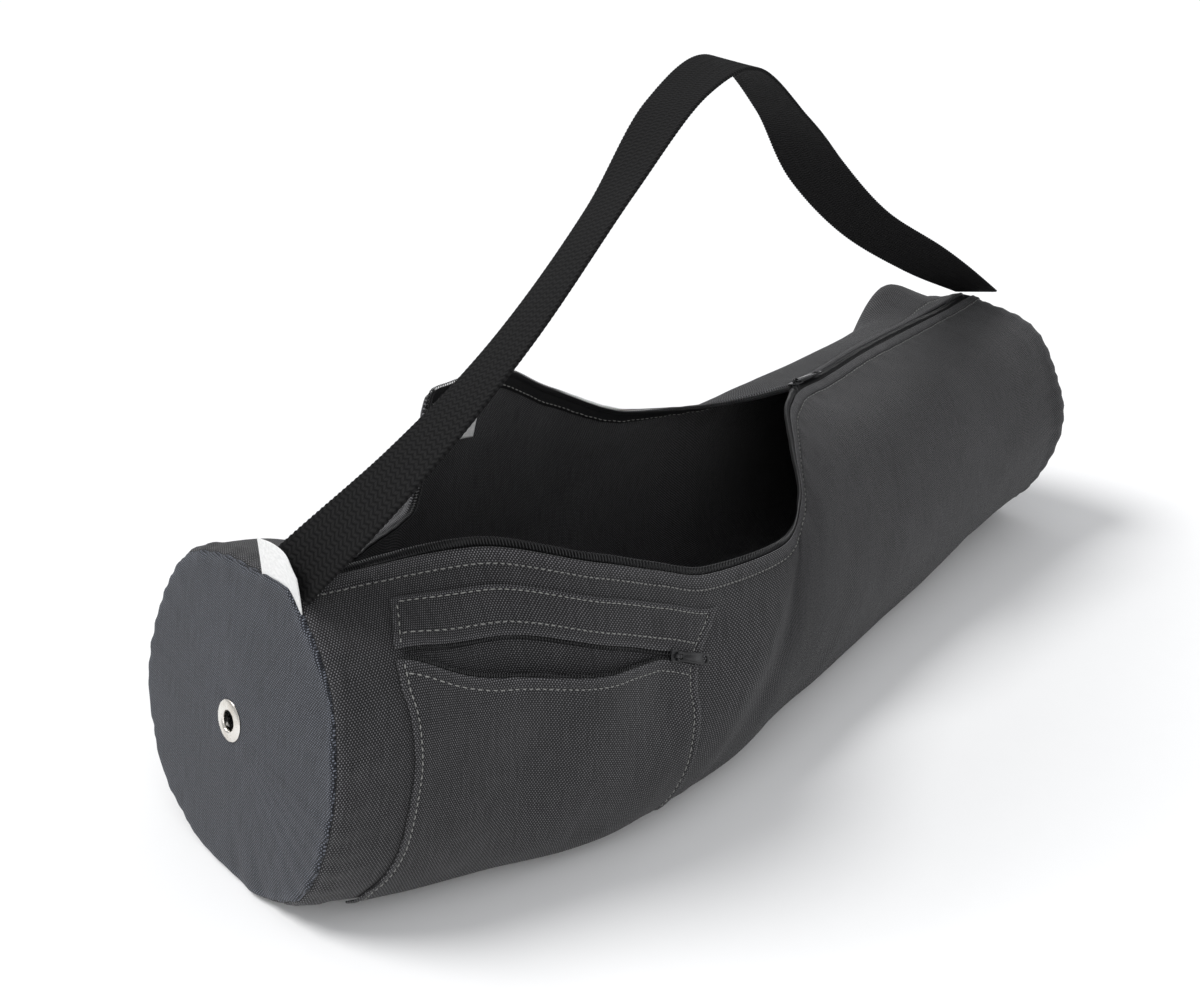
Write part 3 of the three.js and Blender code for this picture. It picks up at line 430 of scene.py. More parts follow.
def beside(lip, station, out, lift):
    """Places beside a lip: out is the distance past the canvas edge, across the mouth."""
    edge_mm, inner_mm = (0, LIP_GRIP) if lip == 0 else (GIRTH, GIRTH - LIP_GRIP)
    edge = on_cloth(station, edge_mm, lift)
    across = unit(edge - on_cloth(station, inner_mm, lift))
    return edge + across * np.asarray(out, dtype=float)[..., None]


def strap_frame(ts):
    """Centre, length, width and upward directions of the strap at shares of its length."""
    at, side, up, yaw, roll = (np.array(c, dtype=float) for c in zip(*STRAP_ROUTE))
    start = SECTIONS[0][SECTION_COLUMNS.index("rear_lean")] * BAG_RADIUS
    route = np.stack([start + at * (BAG_LENGTH - start), side * BAG_RADIUS, up * BAG_RADIUS], axis=1)
    turn = catmull_rom(np.stack([yaw, roll], axis=1), ts, 0)
    yaw, roll = np.radians(turn[:, 0]), np.radians(turn[:, 1])
    centre = catmull_rom(route, ts, 0.5)
    after, before = (catmull_rom(route, np.clip(ts + step, 0, 1), 0.5) for step in (1e-4, -1e-4))
    ahead = unit(after - before)
    width = np.stack([-np.sin(yaw) * np.cos(roll), np.cos(yaw) * np.cos(roll), np.sin(roll)], axis=1)
    width = unit(width - ahead * np.sum(width * ahead, axis=1, keepdims=True))
    return centre, ahead, width, np.cross(ahead, width)


def strap_shift():
    """The shift from the bag's own coordinates to the part's frame, read off the strap."""
    centre, _, width, up = strap_frame(np.linspace(0, 1, STRAP_STEPS))
    corners = [centre + w * width * STRAP_WIDTH / 2 + h * up * STRAP_THICKNESS / 2
               for w in (-1, 1) for h in (-1, 1)]
    lowest = np.min(np.vstack(corners), axis=0)
    return lowest - np.array(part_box("strap")[0]) / MM


ORIGIN = strap_shift()


# Meshes
def placed(name, data):
    """A new object, linked into the scene."""
    made = bpy.data.objects.new(name, data)
    bpy.context.scene.collection.objects.link(made)
    return made


def add_mesh(name, points, faces, material, replaced=(), body="root", cloth=None, wear_and_highlight=None):
    """A smooth-shaded piece from points in millimetres of the bag.

    It keeps its cloth coordinates and its edge wear with painted highlight, which a sheet has once for both of
    its faces.
    """
    mesh = bpy.data.meshes.new(name)
    metres = (np.asarray(points).reshape(-1, 3) - ORIGIN) * MM
    mesh.from_pydata(metres.tolist(), [], faces if isinstance(faces, list) else faces.tolist())
    mesh.polygons.foreach_set("use_smooth", [True] * len(mesh.polygons))
    for label, kind, field, width, values in (("cloth", "FLOAT_VECTOR", "vector", 3, cloth),
                                              ("wear_and_highlight", "FLOAT", "value", 1, wear_and_highlight)):
        if values is not None:
            values = np.asarray(values, dtype=np.float32).ravel()
            layer = mesh.attributes.new(label, kind, "POINT")
            layer.data.foreach_set(field, np.tile(values, width * len(mesh.vertices) // len(values)))
    mesh.materials.append(material)
    mesh.update()
    piece = placed(name, mesh)
    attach(piece, body)
    if replaced:
        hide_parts(*replaced)


def turned_out(points, faces):
    """The faces, turned round where they would enclose a negative volume."""
    faces = np.asarray(faces)
    a, b, c = (points[faces[:, k]] for k in range(3))
    volume = np.sum(a * np.cross(b, c))
    if faces.shape[1] == 4:
        d = points[faces[:, 3]]
        volume += np.sum(a * np.cross(c, d))
    return faces if volume > 0 else faces[:, ::-1]


def sheet_mesh(top, under, wraps=False):
    """Points and faces of a closed sheet between two grids of points."""
    rows, columns = top.shape[:2]
    points = np.concatenate([top.reshape(-1, 3), under.reshape(-1, 3)])
    index = np.arange(rows * columns).reshape(rows, columns)
    if wraps:
        index = np.concatenate([index, index[:, :1]], axis=1)
    below = index + rows * columns

    def quads(a, b, c, d):
        return np.stack([a, b, c, d], axis=-1).reshape(-1, 4)

    faces = [
        quads(index[:-1, :-1], index[1:, :-1], index[1:, 1:], index[:-1, 1:]),
        quads(below[:-1, :-1], below[:-1, 1:], below[1:, 1:], below[1:, :-1]),
        quads(index[0, :-1], index[0, 1:], below[0, 1:], below[0, :-1]),
        quads(index[-1, 1:], index[-1, :-1], below[-1, :-1], below[-1, 1:]),
    ]
    if not wraps:
        faces.append(quads(index[1:, 0], index[:-1, 0], below[:-1, 0], below[1:, 0]))
        faces.append(quads(index[:-1, -1], index[1:, -1], below[1:, -1], below[:-1, -1]))
    return points, turned_out(points, np.concatenate(faces))


def cloth_grid(*values):
    """Cloth coordinates from values for each point: along, across, and nothing."""
    return np.stack(np.broadcast_arrays(*values, 0.0), axis=-1)


def tube_mesh(rings, closed_ends=True):
    """Points and faces of a bar through rings of points."""
    rows, sides = rings.shape[:2]
    points = rings.reshape(-1, 3)
    index = np.arange(rows * sides).reshape(rows, sides)
    index = np.concatenate([index, index[:, :1]], axis=1)
    faces = np.stack([index[:-1, :-1], index[1:, :-1], index[1:, 1:], index[:-1, 1:]], axis=-1).reshape(-1, 4)
    faces = turned_out(points, faces).tolist()
    if closed_ends:
        for cap, neighbour in ((index[0, :-1], index[1, 0]), (index[-1, :-1], index[-2, 0])):
            a, b, c = (points[cap[k]] for k in (0, sides // 3, 2 * sides // 3))
            inwards = np.cross(b - a, c - a) @ (points[neighbour] - points[cap[0]])
            faces.append(cap.tolist() if inwards < 0 else cap[::-1].tolist())
    return points, faces


def spaced(start, end, step):
    count = max(2, int(round((end - start) / step)) + 1)
    return np.linspace(start, end, count)


def edge_steps(start, end, step, fine):
    """Positions from start to end: the fine distances at each end, and even steps between them."""
    fine = np.array(fine)
    middle = spaced(start + fine[-1], end - fine[-1], step)
    return np.concatenate([start + fine[:-1], middle, (end - fine[:-1])[::-1]])


# Materials
class Shader:
    """A node material under construction; sockets and numbers mix freely in its sums."""

    def __init__(self, name, **constants):
        self.material = bpy.data.materials.new(name)
        self.material.use_nodes = True
        self.tree = self.material.node_tree
        self.surface = self.tree.nodes["Principled BSDF"]
        for socket, value in constants.items():
            self.surface.inputs[socket.replace("_", " ")].default_value = value

    def link(self, value, socket):
        if isinstance(value, bpy.types.NodeSocket):
            self.tree.links.new(value, socket)
        else:
            socket.default_value = value

    def sum(self, operation, *values):
        node = self.tree.nodes.new("ShaderNodeMath")
        node.operation = operation
        for value, socket in zip(values, node.inputs):
            self.link(value, socket)
        return node.outputs[0]

    def times(self, first, second):
        return self.sum("MULTIPLY", first, second)

    def attribute(self, name, output="Vector"):
        node = self.tree.nodes.new("ShaderNodeAttribute")
        node.attribute_name = name
        return node.outputs[output]

    def split(self, vector):
        node = self.tree.nodes.new("ShaderNodeSeparateXYZ")
        self.link(vector, node.inputs[0])
        return node.outputs[0], node.outputs[1]

    def join(self, x, y, z=0.0):
        node = self.tree.nodes.new("ShaderNodeCombineXYZ")
        for value, socket in zip((x, y, z), node.inputs):
            self.link(value, socket)
        return node.outputs[0]

    def place(self):
        return self.tree.nodes.new("ShaderNodeTexCoord").outputs["Object"]

    def noise(self, vector, scale, detail=2.0):
        node = self.tree.nodes.new("ShaderNodeTexNoise")
        self.link(vector, node.inputs["Vector"])
        node.inputs["Scale"].default_value = scale
        node.inputs["Detail"].default_value = detail
        return node.outputs[0]

    def grain(self, x, y, along_x, along_y, scale=1.0, detail=2.0):
        """Noise on the cloth, at a density each way."""
        return self.noise(self.join(self.times(x, along_x), self.times(y, along_y)), scale, detail)

    def spread(self, value, low, high, to_low=0.0, to_high=1.0):
        node = self.tree.nodes.new("ShaderNodeMapRange")
        node.interpolation_type = "SMOOTHSTEP"
        self.link(value, node.inputs[0])
        for number, socket in zip((low, high, to_low, to_high), list(node.inputs)[1:5]):
            socket.default_value = number
        return node.outputs[0]

    def mix(self, share, first, second, blend="MIX"):
        node = self.tree.nodes.new("ShaderNodeMix")
        node.data_type = "RGBA"
        node.blend_type = blend
        self.link(share, node.inputs["Factor"])
        colours = [socket for socket in node.inputs if socket.type == "RGBA"]
        for value, socket in zip((first, second), colours):
            self.link(value if isinstance(value, bpy.types.NodeSocket) else (*value, 1.0), socket)
        return next(socket for socket in node.outputs if socket.type == "RGBA")

    def grey(self, value):
        node = self.tree.nodes.new("ShaderNodeCombineColor")
        for socket in node.inputs[:3]:
            self.link(value, socket)
        return node.outputs[0]

    def finish(self, colour, height, depth, roughness=None):
        """Sets the colour, and a bump of the given depth in metres."""
        self.link(colour, self.surface.inputs["Base Color"])
        if roughness is not None:
            self.link(roughness, self.surface.inputs["Roughness"])
        node = self.tree.nodes.new("ShaderNodeBump")
        node.inputs["Strength"].default_value = 1.0
        node.inputs["Distance"].default_value = depth
        self.link(height, node.inputs["Height"])
        self.link(node.outputs[0], self.surface.inputs["Normal"])
        return self.material


WARP_PITCH = 0.7
WEFT_PITCH = 1.1


def canvas(name, gap, weft, warp):
    """Plain-woven canvas: light flecks where the warp crosses over, and dark gaps between the yarns."""
    s = Shader(name, Roughness=0.92, Sheen_Weight=0.12, Sheen_Roughness=0.5, Specular_IOR_Level=0.25)
    x, y = s.split(s.attribute("cloth"))
    drift = s.grain(x, y, 0.11, 0.11, detail=1.0)
    bent_x = s.sum("MULTIPLY_ADD", drift, 0.5, x)
    bent_y = s.sum("MULTIPLY_ADD", drift, 0.7, y)
    across = s.sum("SINE", s.times(bent_x, math.pi / WARP_PITCH))
    down = s.sum("SINE", s.times(bent_y, math.pi / WEFT_PITCH))
    crossing = s.times(across, down)
    over = s.spread(crossing, 0.12, 0.75)
    under = s.spread(s.times(crossing, -1.0), 0.1, 0.8)
    long_yarn = s.grain(x, y, 1.4, 0.05)
    cross_yarn = s.grain(x, y, 0.05, 1.0)
    fuzz = s.noise(s.join(x, y), 2.6, 3.0)
    warp_light = s.times(over, s.spread(long_yarn, 0.25, 0.75, 0.55, 1.35))
    warp_light = s.times(warp_light, s.spread(fuzz, 0.3, 0.7, 0.6, 1.3))
    weft_light = s.times(under, s.spread(cross_yarn, 0.25, 0.75, 0.5, 1.4))
    colour = s.mix(s.sum("MINIMUM", weft_light, 1.0), gap, weft)
    colour = s.mix(s.sum("MINIMUM", warp_light, 1.0), colour, warp)
    cloudy = s.noise(s.place(), 9.0, 3.0)
    # Lighter along hems, seam rolls and sheet edges: partly real edge wear, partly a painted highlight where
    # those rolled edges catch the light.
    worn_and_lit = s.sum("MULTIPLY_ADD", s.attribute("wear_and_highlight", "Fac"), 0.55, 1.0)
    tone_wear_and_highlight = s.times(s.spread(cloudy, 0.3, 0.7, 0.88, 1.12), worn_and_lit)
    colour = s.mix(1.0, colour, s.grey(tone_wear_and_highlight), "MULTIPLY")
    height = s.sum("ADD", s.sum("POWER", s.sum("ABSOLUTE", crossing), 0.55), s.times(fuzz, 0.35))
    return s.finish(colour, height, 0.00022)


RIB_PITCH = 2.9
RIB_COLUMN = 3.1


def webbing():
    """Heavy webbing: columns of short slanted ribs that lean to and fro."""
    s = Shader("webbing", Roughness=0.82, Specular_IOR_Level=0.12)
    x, y = s.split(s.attribute("cloth"))
    lean = s.sum("PINGPONG", y, RIB_COLUMN)
    phase = s.times(s.sum("MULTIPLY_ADD", lean, 0.55, x), 2 * math.pi / RIB_PITCH)
    rib = s.sum("MULTIPLY_ADD", s.sum("SINE", phase), 0.5, 0.5)
    column_edge = s.sum("ABSOLUTE", s.sum("SINE", s.times(y, math.pi / RIB_COLUMN)))
    body = s.times(s.sum("POWER", rib, 0.6), s.spread(column_edge, 0.0, 0.35, 0.55, 1.0))
    fibre = s.grain(x, y, 0.8, 5.0, 1.6, 3.0)
    light = s.times(body, s.spread(fibre, 0.3, 0.7, 0.5, 1.3))
    colour = s.mix(s.sum("MINIMUM", light, 1.0), (0.0018, 0.0018, 0.002), (0.0125, 0.0122, 0.0125))
    height = s.sum("ADD", body, s.times(fibre, 0.25))
    return s.finish(colour, height, 0.00045)


def woven_tape(name, dark, light, pitch, roughness=0.8):
    """Narrow woven tape or thread: fine ribs across its length."""
    s = Shader(name, Roughness=roughness, Specular_IOR_Level=0.3)
    x, y = s.split(s.attribute("cloth"))
    rib = s.sum("SINE", s.times(s.sum("MULTIPLY_ADD", y, 0.6, x), 2 * math.pi / pitch))
    rib = s.sum("MULTIPLY_ADD", rib, 0.5, 0.5)
    fibre = s.grain(x, y, 1.0, 3.0, 2.0)
    body = s.times(rib, s.spread(fibre, 0.3, 0.7, 0.7, 1.2))
    return s.finish(s.mix(s.sum("MINIMUM", body, 1.0), dark, light), body, 0.00012)


def nylon():
    s = Shader("coil_nylon", Roughness=0.34, Specular_IOR_Level=0.55)
    speck = s.noise(s.place(), 900.0, 2.0)
    colour = s.mix(speck, (0.0045, 0.0045, 0.005), (0.0095, 0.0095, 0.0105))
    return s.finish(colour, speck, 0.00003)


def enamel():
    """Painted die-cast metal with a slight orange peel and rubbed patches."""
    s = Shader("slider_enamel", Metallic=0.35, Specular_IOR_Level=0.5)
    peel = s.noise(s.place(), 1400.0, 2.0)
    rubbed = s.spread(s.noise(s.place(), 160.0, 4.0), 0.42, 0.68)
    colour = s.mix(rubbed, (0.010, 0.010, 0.011), (0.034, 0.034, 0.036))
    return s.finish(colour, peel, 0.00003, s.spread(rubbed, 0.0, 1.0, 0.2, 0.38))


def nickel():
    """Plated metal: bright, with fine scratches and a faint warm tarnish."""
    s = Shader("nickel", Metallic=1.0)
    scratch = s.noise(s.place(), 700.0, 6.0)
    tarnish = s.spread(s.noise(s.place(), 90.0, 3.0), 0.35, 0.7)
    colour = s.mix(tarnish, (0.78, 0.76, 0.72), (0.60, 0.56, 0.50))
    return s.finish(colour, scratch, 0.00002, s.spread(scratch, 0.3, 0.7, 0.14, 0.3))


def satin():
    """White satin label: fine diagonal weave, a little translucent-looking sheen."""
    s = Shader("label_satin", Roughness=0.48, Specular_IOR_Level=0.45, Sheen_Weight=0.15, Sheen_Roughness=0.3)
    x, y = s.split(s.attribute("cloth"))
    twill = s.sum("SINE", s.times(s.sum("ADD", x, y), 2 * math.pi / 0.45))
    soft = s.noise(s.join(x, y), 0.6, 3.0)
    colour = s.mix(s.spread(soft, 0.3, 0.7), (0.74, 0.74, 0.73), (0.86, 0.86, 0.85))
    return s.finish(colour, s.sum("MULTIPLY_ADD", twill, 0.4, soft), 0.00006)


def floor_paint():
    s = Shader("floor", Roughness=0.85, Specular_IOR_Level=0.1)
    grain = s.noise(s.place(), 60.0, 3.0)
    return s.finish(s.mix(grain, (0.925, 0.925, 0.925), (0.935, 0.935, 0.935)), grain, 0.00002)


tube_canvas = canvas("canvas", (0.003, 0.003, 0.0036), (0.023, 0.0225, 0.024), (0.142, 0.140, 0.146))
# Canvas of the end discs: the same cloth as the tube's, painted lighter and bluer as if lit by a cool key
# light.
disc_canvas_painted_light = canvas("disc_canvas_painted_light", (0.004, 0.0043, 0.006), (0.032, 0.035, 0.043), (0.155, 0.167, 0.198))
strap_webbing = webbing()
tape_cloth = woven_tape("zip_tape", (0.003, 0.003, 0.0033), (0.012, 0.012, 0.013), 0.9)
thread_cloth = woven_tape("thread", (0.16, 0.16, 0.155), (0.36, 0.36, 0.34), 0.7, 0.7)
coil_nylon = nylon()
slider_enamel = enamel()
eyelet_nickel = nickel()
label_satin = satin()


# Tube: a sheet whose two lips are folded and sewn over the zip, and whose ends roll into their seams
SEAM_ROLL = 2.4
LIP_ROUND = 1.2
ROLL_ANGLES = np.radians((110, 90, 70, 50, 32, 16, 0))
TUBE_ROW = 3.5
TUBE_COLUMN = 4.0
LIP_STEPS = (0, 0.1, 0.35, 0.75, 1.2, 2, 3, 4, 5, 6, 7, 7.6, 8.2, 8.8, 9.6, 11, 13.5)


def rolled(radius):
    """Distances from an end, and levels, round the roll of a sewn end."""
    return SEAM_ROLL - radius * np.sin(ROLL_ANGLES), radius * np.cos(ROLL_ANGLES) - SEAM_ROLL


def tube():
    middle = spaced(SEAM_ROLL, BAG_LENGTH - SEAM_ROLL, TUBE_ROW)[1:-1]

    def rows(radius):
        near, level = rolled(radius)
        stations = np.concatenate([near, middle, BAG_LENGTH - near[::-1]])
        flat = np.full(len(middle), radius - SEAM_ROLL)
        return stations[:, None], np.concatenate([level, flat, level[::-1]])[:, None]

    mm = edge_steps(0, GIRTH, TUBE_COLUMN, LIP_STEPS)[None, :]
    from_lip = np.minimum(mm, GIRTH - mm)
    drop = rounding(from_lip, LIP_ROUND)
    stations, level = rows(SEAM_ROLL)
    top = on_cloth(stations, mm, level + hem(from_lip) - drop)
    inner_stations, inner_level = rows(SEAM_ROLL - CANVAS)
    under = on_cloth(inner_stations, mm, inner_level + drop)
    top[..., 2] = np.maximum(top[..., 2], 0)
    under[..., 2] = np.maximum(under[..., 2], CANVAS)
    points, faces = sheet_mesh(top, under)
    from_end = np.minimum(stations, BAG_LENGTH - stations)
    # Lighter by the lips and the rolled ends: partly edge wear, partly a painted highlight on the rolls.
    wear_and_highlight = np.clip(0.8 * bump(from_lip - 2.5, 3.2) + 0.5 * bump(from_end - 1.5, 2.5), 0, 1)
    add_mesh("tube", points, faces, tube_canvas, ["body_shell"],
             cloth=cloth_grid(stations, mm), wear_and_highlight=wear_and_highlight)


tube()


# End discs and the eyelet
def seam_plane(station):
    """Middle of an end seam and its outward direction."""
    ring = sample(SKIN, station, np.linspace(0, GIRTH, 30))
    middle = ring.mean(axis=0)
    reach = ring - middle
    normal = unit(np.sum(np.cross(reach, np.roll(reach, -1, axis=0)), axis=0))
    if (normal[0] > 0) == (station < BAG_LENGTH / 2):
        normal = -normal
    return middle, normal


DISC_STEPS = (0, 0.08, 0.3, 0.7, 1.2, 1.8, 2.5, 3.5, 5, 7, 10)
DISC_TUCK = 1.2
DISC_ROUND = 2.3
RIM_PULL = 0.3
RIM_PULLS = 26
RIM_PULL_REACH = 7
DENT_REACH = 14
DISC_WAVE = 0.35
DISC_WAVE_LENGTH = 17
NO_HOLE = 0.05


def disc(name, node, station, most, hole, dents):
    """A canvas disc whose rim turns down into its seam, with small pulls where the seam gathers it.

    Each dent has its angle round the disc in degrees, its depth, and its width in degrees.
    """
    middle, normal = seam_plane(station)
    mm = np.linspace(0, GIRTH, 220)
    ring = on_cloth(station, mm)
    bridge = ring[-1] + (ring[0] - ring[-1]) * np.array([0.25, 0.5, 0.75])[:, None]
    ring = np.vstack([ring, bridge])
    reach = ring - middle
    level = np.sum(reach * normal, axis=1)[None, :, None]
    flat = reach - normal * (reach @ normal)[:, None]
    full = np.linalg.norm(flat, axis=1)
    flat = (flat / full[:, None])[None]
    rim = full - DISC_TUCK
    side = np.array([0.0, 1.0, 0.0])
    side = unit(side - normal * (side @ normal))
    up = np.cross(side, normal)
    angle = np.arctan2(flat[0] @ up, flat[0] @ side)[None, :]
    inner = spaced(0, 1, 0.075)[::-1]
    deepest = DISC_STEPS[-1]
    from_rim = np.concatenate([np.tile(np.array(DISC_STEPS)[:, None], (1, len(rim))),
                               deepest + (1 - inner[1:, None]) * (rim - hole - deepest)[None, :]])
    radius = rim[None, :] - from_rim
    share = radius / full[None, :]
    pulls = RIM_PULL * np.sin(RIM_PULLS * angle + 2.2 * np.sin(3 * angle))
    pulls = pulls * np.exp(-from_rim / RIM_PULL_REACH)
    for where, deep, wide in dents:
        off = np.angle(np.exp(1j * (angle - math.radians(where))))
        pulls = pulls - deep * bump(np.degrees(off), wide) * np.exp(-from_rim / DENT_REACH)
    waves = DISC_WAVE * np.sin(radius / DISC_WAVE_LENGTH + 2.1 * angle) * np.sin(2 * angle + 0.7)
    waves = waves * (1 - share ** 2)
    outer = SEW_GAP + CANVAS + most * (1 - share ** 2) + (pulls + waves) * np.clip(from_rim / 1.5, 0, 1)
    outer = outer - rounding(from_rim, DISC_ROUND)
    thickness = np.clip(0.2 + from_rim * 0.7, 0, CANVAS)
    base = middle + flat * radius[..., None] + normal * level * share[..., None]
    top = base + normal * outer[..., None]
    under = base + normal * (outer - thickness)[..., None]
    points, faces = sheet_mesh(top, under, wraps=True)
    # Its rim by the seam is painted lighter: partly edge wear, partly a painted highlight on the turned-down
    # rim.
    add_mesh(name, points, faces, disc_canvas_painted_light, [node],
             cloth=cloth_grid(radius * np.cos(angle), radius * np.sin(angle)),
             wear_and_highlight=0.45 * bump(from_rim - 2, 2.5))


disc("near_disc", "end_disc_near", 0, NEAR_BULGE, EYELET_BORE + EYELET_METAL + EYELET_FIT,
     ((152, 1.6, 5), (185, 1.3, 4), (-100, 1.5, 4), (-118, 1.2, 4)))
disc("far_disc", "end_disc_far", BAG_LENGTH, FAR_BULGE, NO_HOLE, ((100, 1.2, 5), (-60, 1.3, 5)))

EYELET_SIDES = 72
EYELET_PROFILE = (
    (5.40, -1.30), (10.70, -1.30), (10.70, -0.60), (6.10, -0.60), (6.10, 1.80), (10.90, 1.75), (11.20, 1.90),
    (11.15, 2.15), (10.70, 2.40), (9.70, 2.72), (8.40, 3.02), (7.20, 3.08), (6.30, 2.95), (5.75, 2.62),
    (5.45, 2.10), (5.40, 1.50),
)


def eyelet():
    """A rolled eyelet: its bright flange outside, its barrel, and its washer inside the disc."""
    middle, normal = seam_plane(0)
    side = unit(np.cross(normal, (0.0, 0.0, 1.0)))
    up = np.cross(side, normal)
    base = middle + normal * (SEW_GAP + NEAR_BULGE)
    angles = np.linspace(0, 2 * math.pi, EYELET_SIDES, endpoint=False)
    spokes = np.cos(angles)[:, None] * side + np.sin(angles)[:, None] * up
    rings = np.array([base + spokes * r + normal * h for r, h in EYELET_PROFILE + EYELET_PROFILE[:1]])
    points, faces = rings[:-1].reshape(-1, 3), []
    count = len(EYELET_PROFILE)
    for i in range(count):
        for j in range(EYELET_SIDES):
            a, b = i * EYELET_SIDES, ((i + 1) % count) * EYELET_SIDES
            k = (j + 1) % EYELET_SIDES
            faces.append((a + j, a + k, b + k, b + j))
    add_mesh("eyelet_ring", points, turned_out(points, faces), eyelet_nickel, ["eyelet"])


eyelet()


# Zip along the mouth: tapes, and coils whose turns mesh where it is closed
COIL_PITCH = 1.35
COIL_STEPS = 12
COIL_HALF_WIDTH = 2.25
COIL_HALF_HEIGHT = 0.95
COIL_WIRE = 0.3
WIRE_SIDES = 5


def wound(name, node, centres, axis):
    """A coil of thin wire, from its centre line and the axis that it winds about."""
    guide = centres - axis
    ahead = unit(np.gradient(centres, axis=0))
    out = unit(guide - ahead * np.sum(guide * ahead, axis=1, keepdims=True))
    across = np.cross(ahead, out)
    angles = np.linspace(0, 2 * math.pi, WIRE_SIDES, endpoint=False)
    rings = centres[:, None] + COIL_WIRE * (np.cos(angles)[None, :, None] * out[:, None]
                                            + np.sin(angles)[None, :, None] * across[:, None])
    points, faces = tube_mesh(rings)
    add_mesh(name, points, faces, coil_nylon, [node])


def turns(start, end, phase):
    """Stations along a coil and the angle of its wire at each."""
    count = int((end - start) / COIL_PITCH * COIL_STEPS)
    angle = np.arange(count) * 2 * math.pi / COIL_STEPS
    return start + COIL_PITCH * angle / (2 * math.pi), angle + phase


def zip_coil(name, node, lip, phase):
    x, angle = turns(ZIP_END, BAG_LENGTH - ZIP_END, phase)
    centres = beside(lip, x, COIL_OUT + COIL_HALF_WIDTH * np.cos(angle),
                     COIL_LIFT + COIL_HALF_HEIGHT * np.sin(angle))
    wound(name, node, centres, beside(lip, x, COIL_OUT, COIL_LIFT))


def zip_tape(name, node, lip):
    """Tape from under the canvas hem out below its coil."""
    x = spaced(ZIP_END, BAG_LENGTH - ZIP_END, 4)
    inside = np.array([TAPE_WIDTH - TAPE_EDGE, 9, 7, 5, 3, 1.2, 0])
    outside = np.array([0.5, 1.0, 1.6, 2.6, 3.6, 4.55])
    levels = np.array([TAPE_TOP] * len(inside) + [TAPE_TOP - 0.25, TAPE_TOP - 0.7] + [TAPE_TOP - 1.1] * 4)

    def grid(drop):
        edge = inside if lip == 0 else GIRTH - inside
        sewn = [on_cloth(x, mm, level - drop) for mm, level in zip(edge, levels)]
        free = [beside(lip, x, out, level - drop) for out, level in zip(outside, levels[len(inside):])]
        return np.stack(sewn + free, axis=1)

    points, faces = sheet_mesh(grid(0), grid(TAPE_THICKNESS))
    cloth = cloth_grid(x[:, None], np.concatenate([-inside, outside])[None, :])
    add_mesh(name, points, faces, tape_cloth, [node], cloth=cloth)


zip_coil("front_coil", "zip_coil_front", 0, 0.0)
zip_coil("rear_coil", "zip_coil_rear", 1, math.pi)
zip_tape("front_tape", "zip_tape_front", 0)
zip_tape("rear_tape", "zip_tape_rear", 1)


# Pocket: a band over a zipped slot, and a panel that stands away from the bag along the slot
SIDE_SEAM = 3.8
BAND_STITCH = 2.5
BAND_FOOT_STITCH = 6.5
PANEL_STITCH = 5.8
BAND_WAVE = 0.35
PANEL_WAVE = 0.9
PANEL_RIPPLE = 0.5
SIDE_HOLD = 18
SEAM_HOLD = 14
POCKET_GROOVE = 0.5
POCKET_GROOVE_WIDTH = 0.9
POCKET_ROLL = 0.28
POCKET_STEPS = (0, 0.1, 0.35, 0.6, 1.1, 1.9, 2.9, 3.8, 4.7, 6)


def seam_at(seam, mm):
    """Where one of the pocket's side seams crosses a level of the cloth."""
    downs, shifts = (np.array(c, dtype=float) for c in zip(*POCKET_SWAY))
    return seam + along(downs, shifts, mm)


def slot_open(x):
    """How far open the slot is: 0 at its stitched end and from the slider on, 1 at its widest."""
    stitched = seam_at(POCKET_FROM, BAND_FOOT)
    closed = POCKET_SLIDER_AT - POCKET_SLIDER_LENGTH * 0.8
    t = np.clip((x - stitched) / (closed - stitched), 0, 1)
    return t ** 1.3 * (1 - t) / WIDEST


def panel_top(x):
    return PANEL_TOP + POCKET_SAG * slot_open(x)


def panel_foot(x):
    """Where the panel's lower seam crosses each station, just above the floor."""
    mm = np.linspace(PANEL_TOP, GIRTH / 2, 900)
    height = sample(SKIN, np.ravel(x)[:, None], mm[None, :])[..., 2]
    return mm[np.argmax(height < POCKET_FOOT, axis=1)].reshape(np.shape(x))


def pocket_pouch(x, down):
    return POCKET_POUCH * slot_open(x) * (1 - down) ** 2 + SLOT_RISE * (1 - down) ** 3


def sewn_sheet(name, node, stations, mm, lift, edges, waves):
    """A pocket piece: half-round edges, and a groove with a soft roll beside each row of stitches."""
    round_radius = POCKET_CLOTH / 2
    nearest = np.min(np.stack([d for d, _ in edges]), axis=0)
    half = np.sqrt(np.maximum(round_radius ** 2 - np.maximum(round_radius - nearest, 0) ** 2, 0.004))
    groove = sum(POCKET_GROOVE * bump(d - row, POCKET_GROOVE_WIDTH)
                 - POCKET_ROLL * bump(d - row / 2, row / 2.6) for d, row in edges if row)
    top = on_cloth(stations, mm, lift + half - groove * np.clip(nearest / 0.6, 0, 1) + waves)
    under = on_cloth(stations, mm, lift - half + np.minimum(waves, 0))
    points, faces = sheet_mesh(top, under)
    # Near its edges the piece is painted lighter: partly edge wear, partly a painted highlight on the rounded
    # edges.
    add_mesh(name, points, faces, tube_canvas, [node], cloth=cloth_grid(stations, mm),
             wear_and_highlight=0.75 * bump(nearest - 1.2, 1.3))


def across_pocket(share, mm):
    """Station at a share of the way between the two side seams, at a level of the cloth."""
    left, right = seam_at(POCKET_FROM, mm), seam_at(POCKET_TO, mm)
    return left + (right - left) * share


def band_rise(mm):
    """How much the hem and the zip lift the lower half of the band."""
    return SLOT_RISE * np.clip((mm - BAND_MIDDLE) / (BAND_HEIGHT / 2), 0, 1)


def band_waves(x, mm, side):
    return BAND_WAVE * np.sin(x / 13 + mm / 9) * np.clip(side / 12, 0, 1)


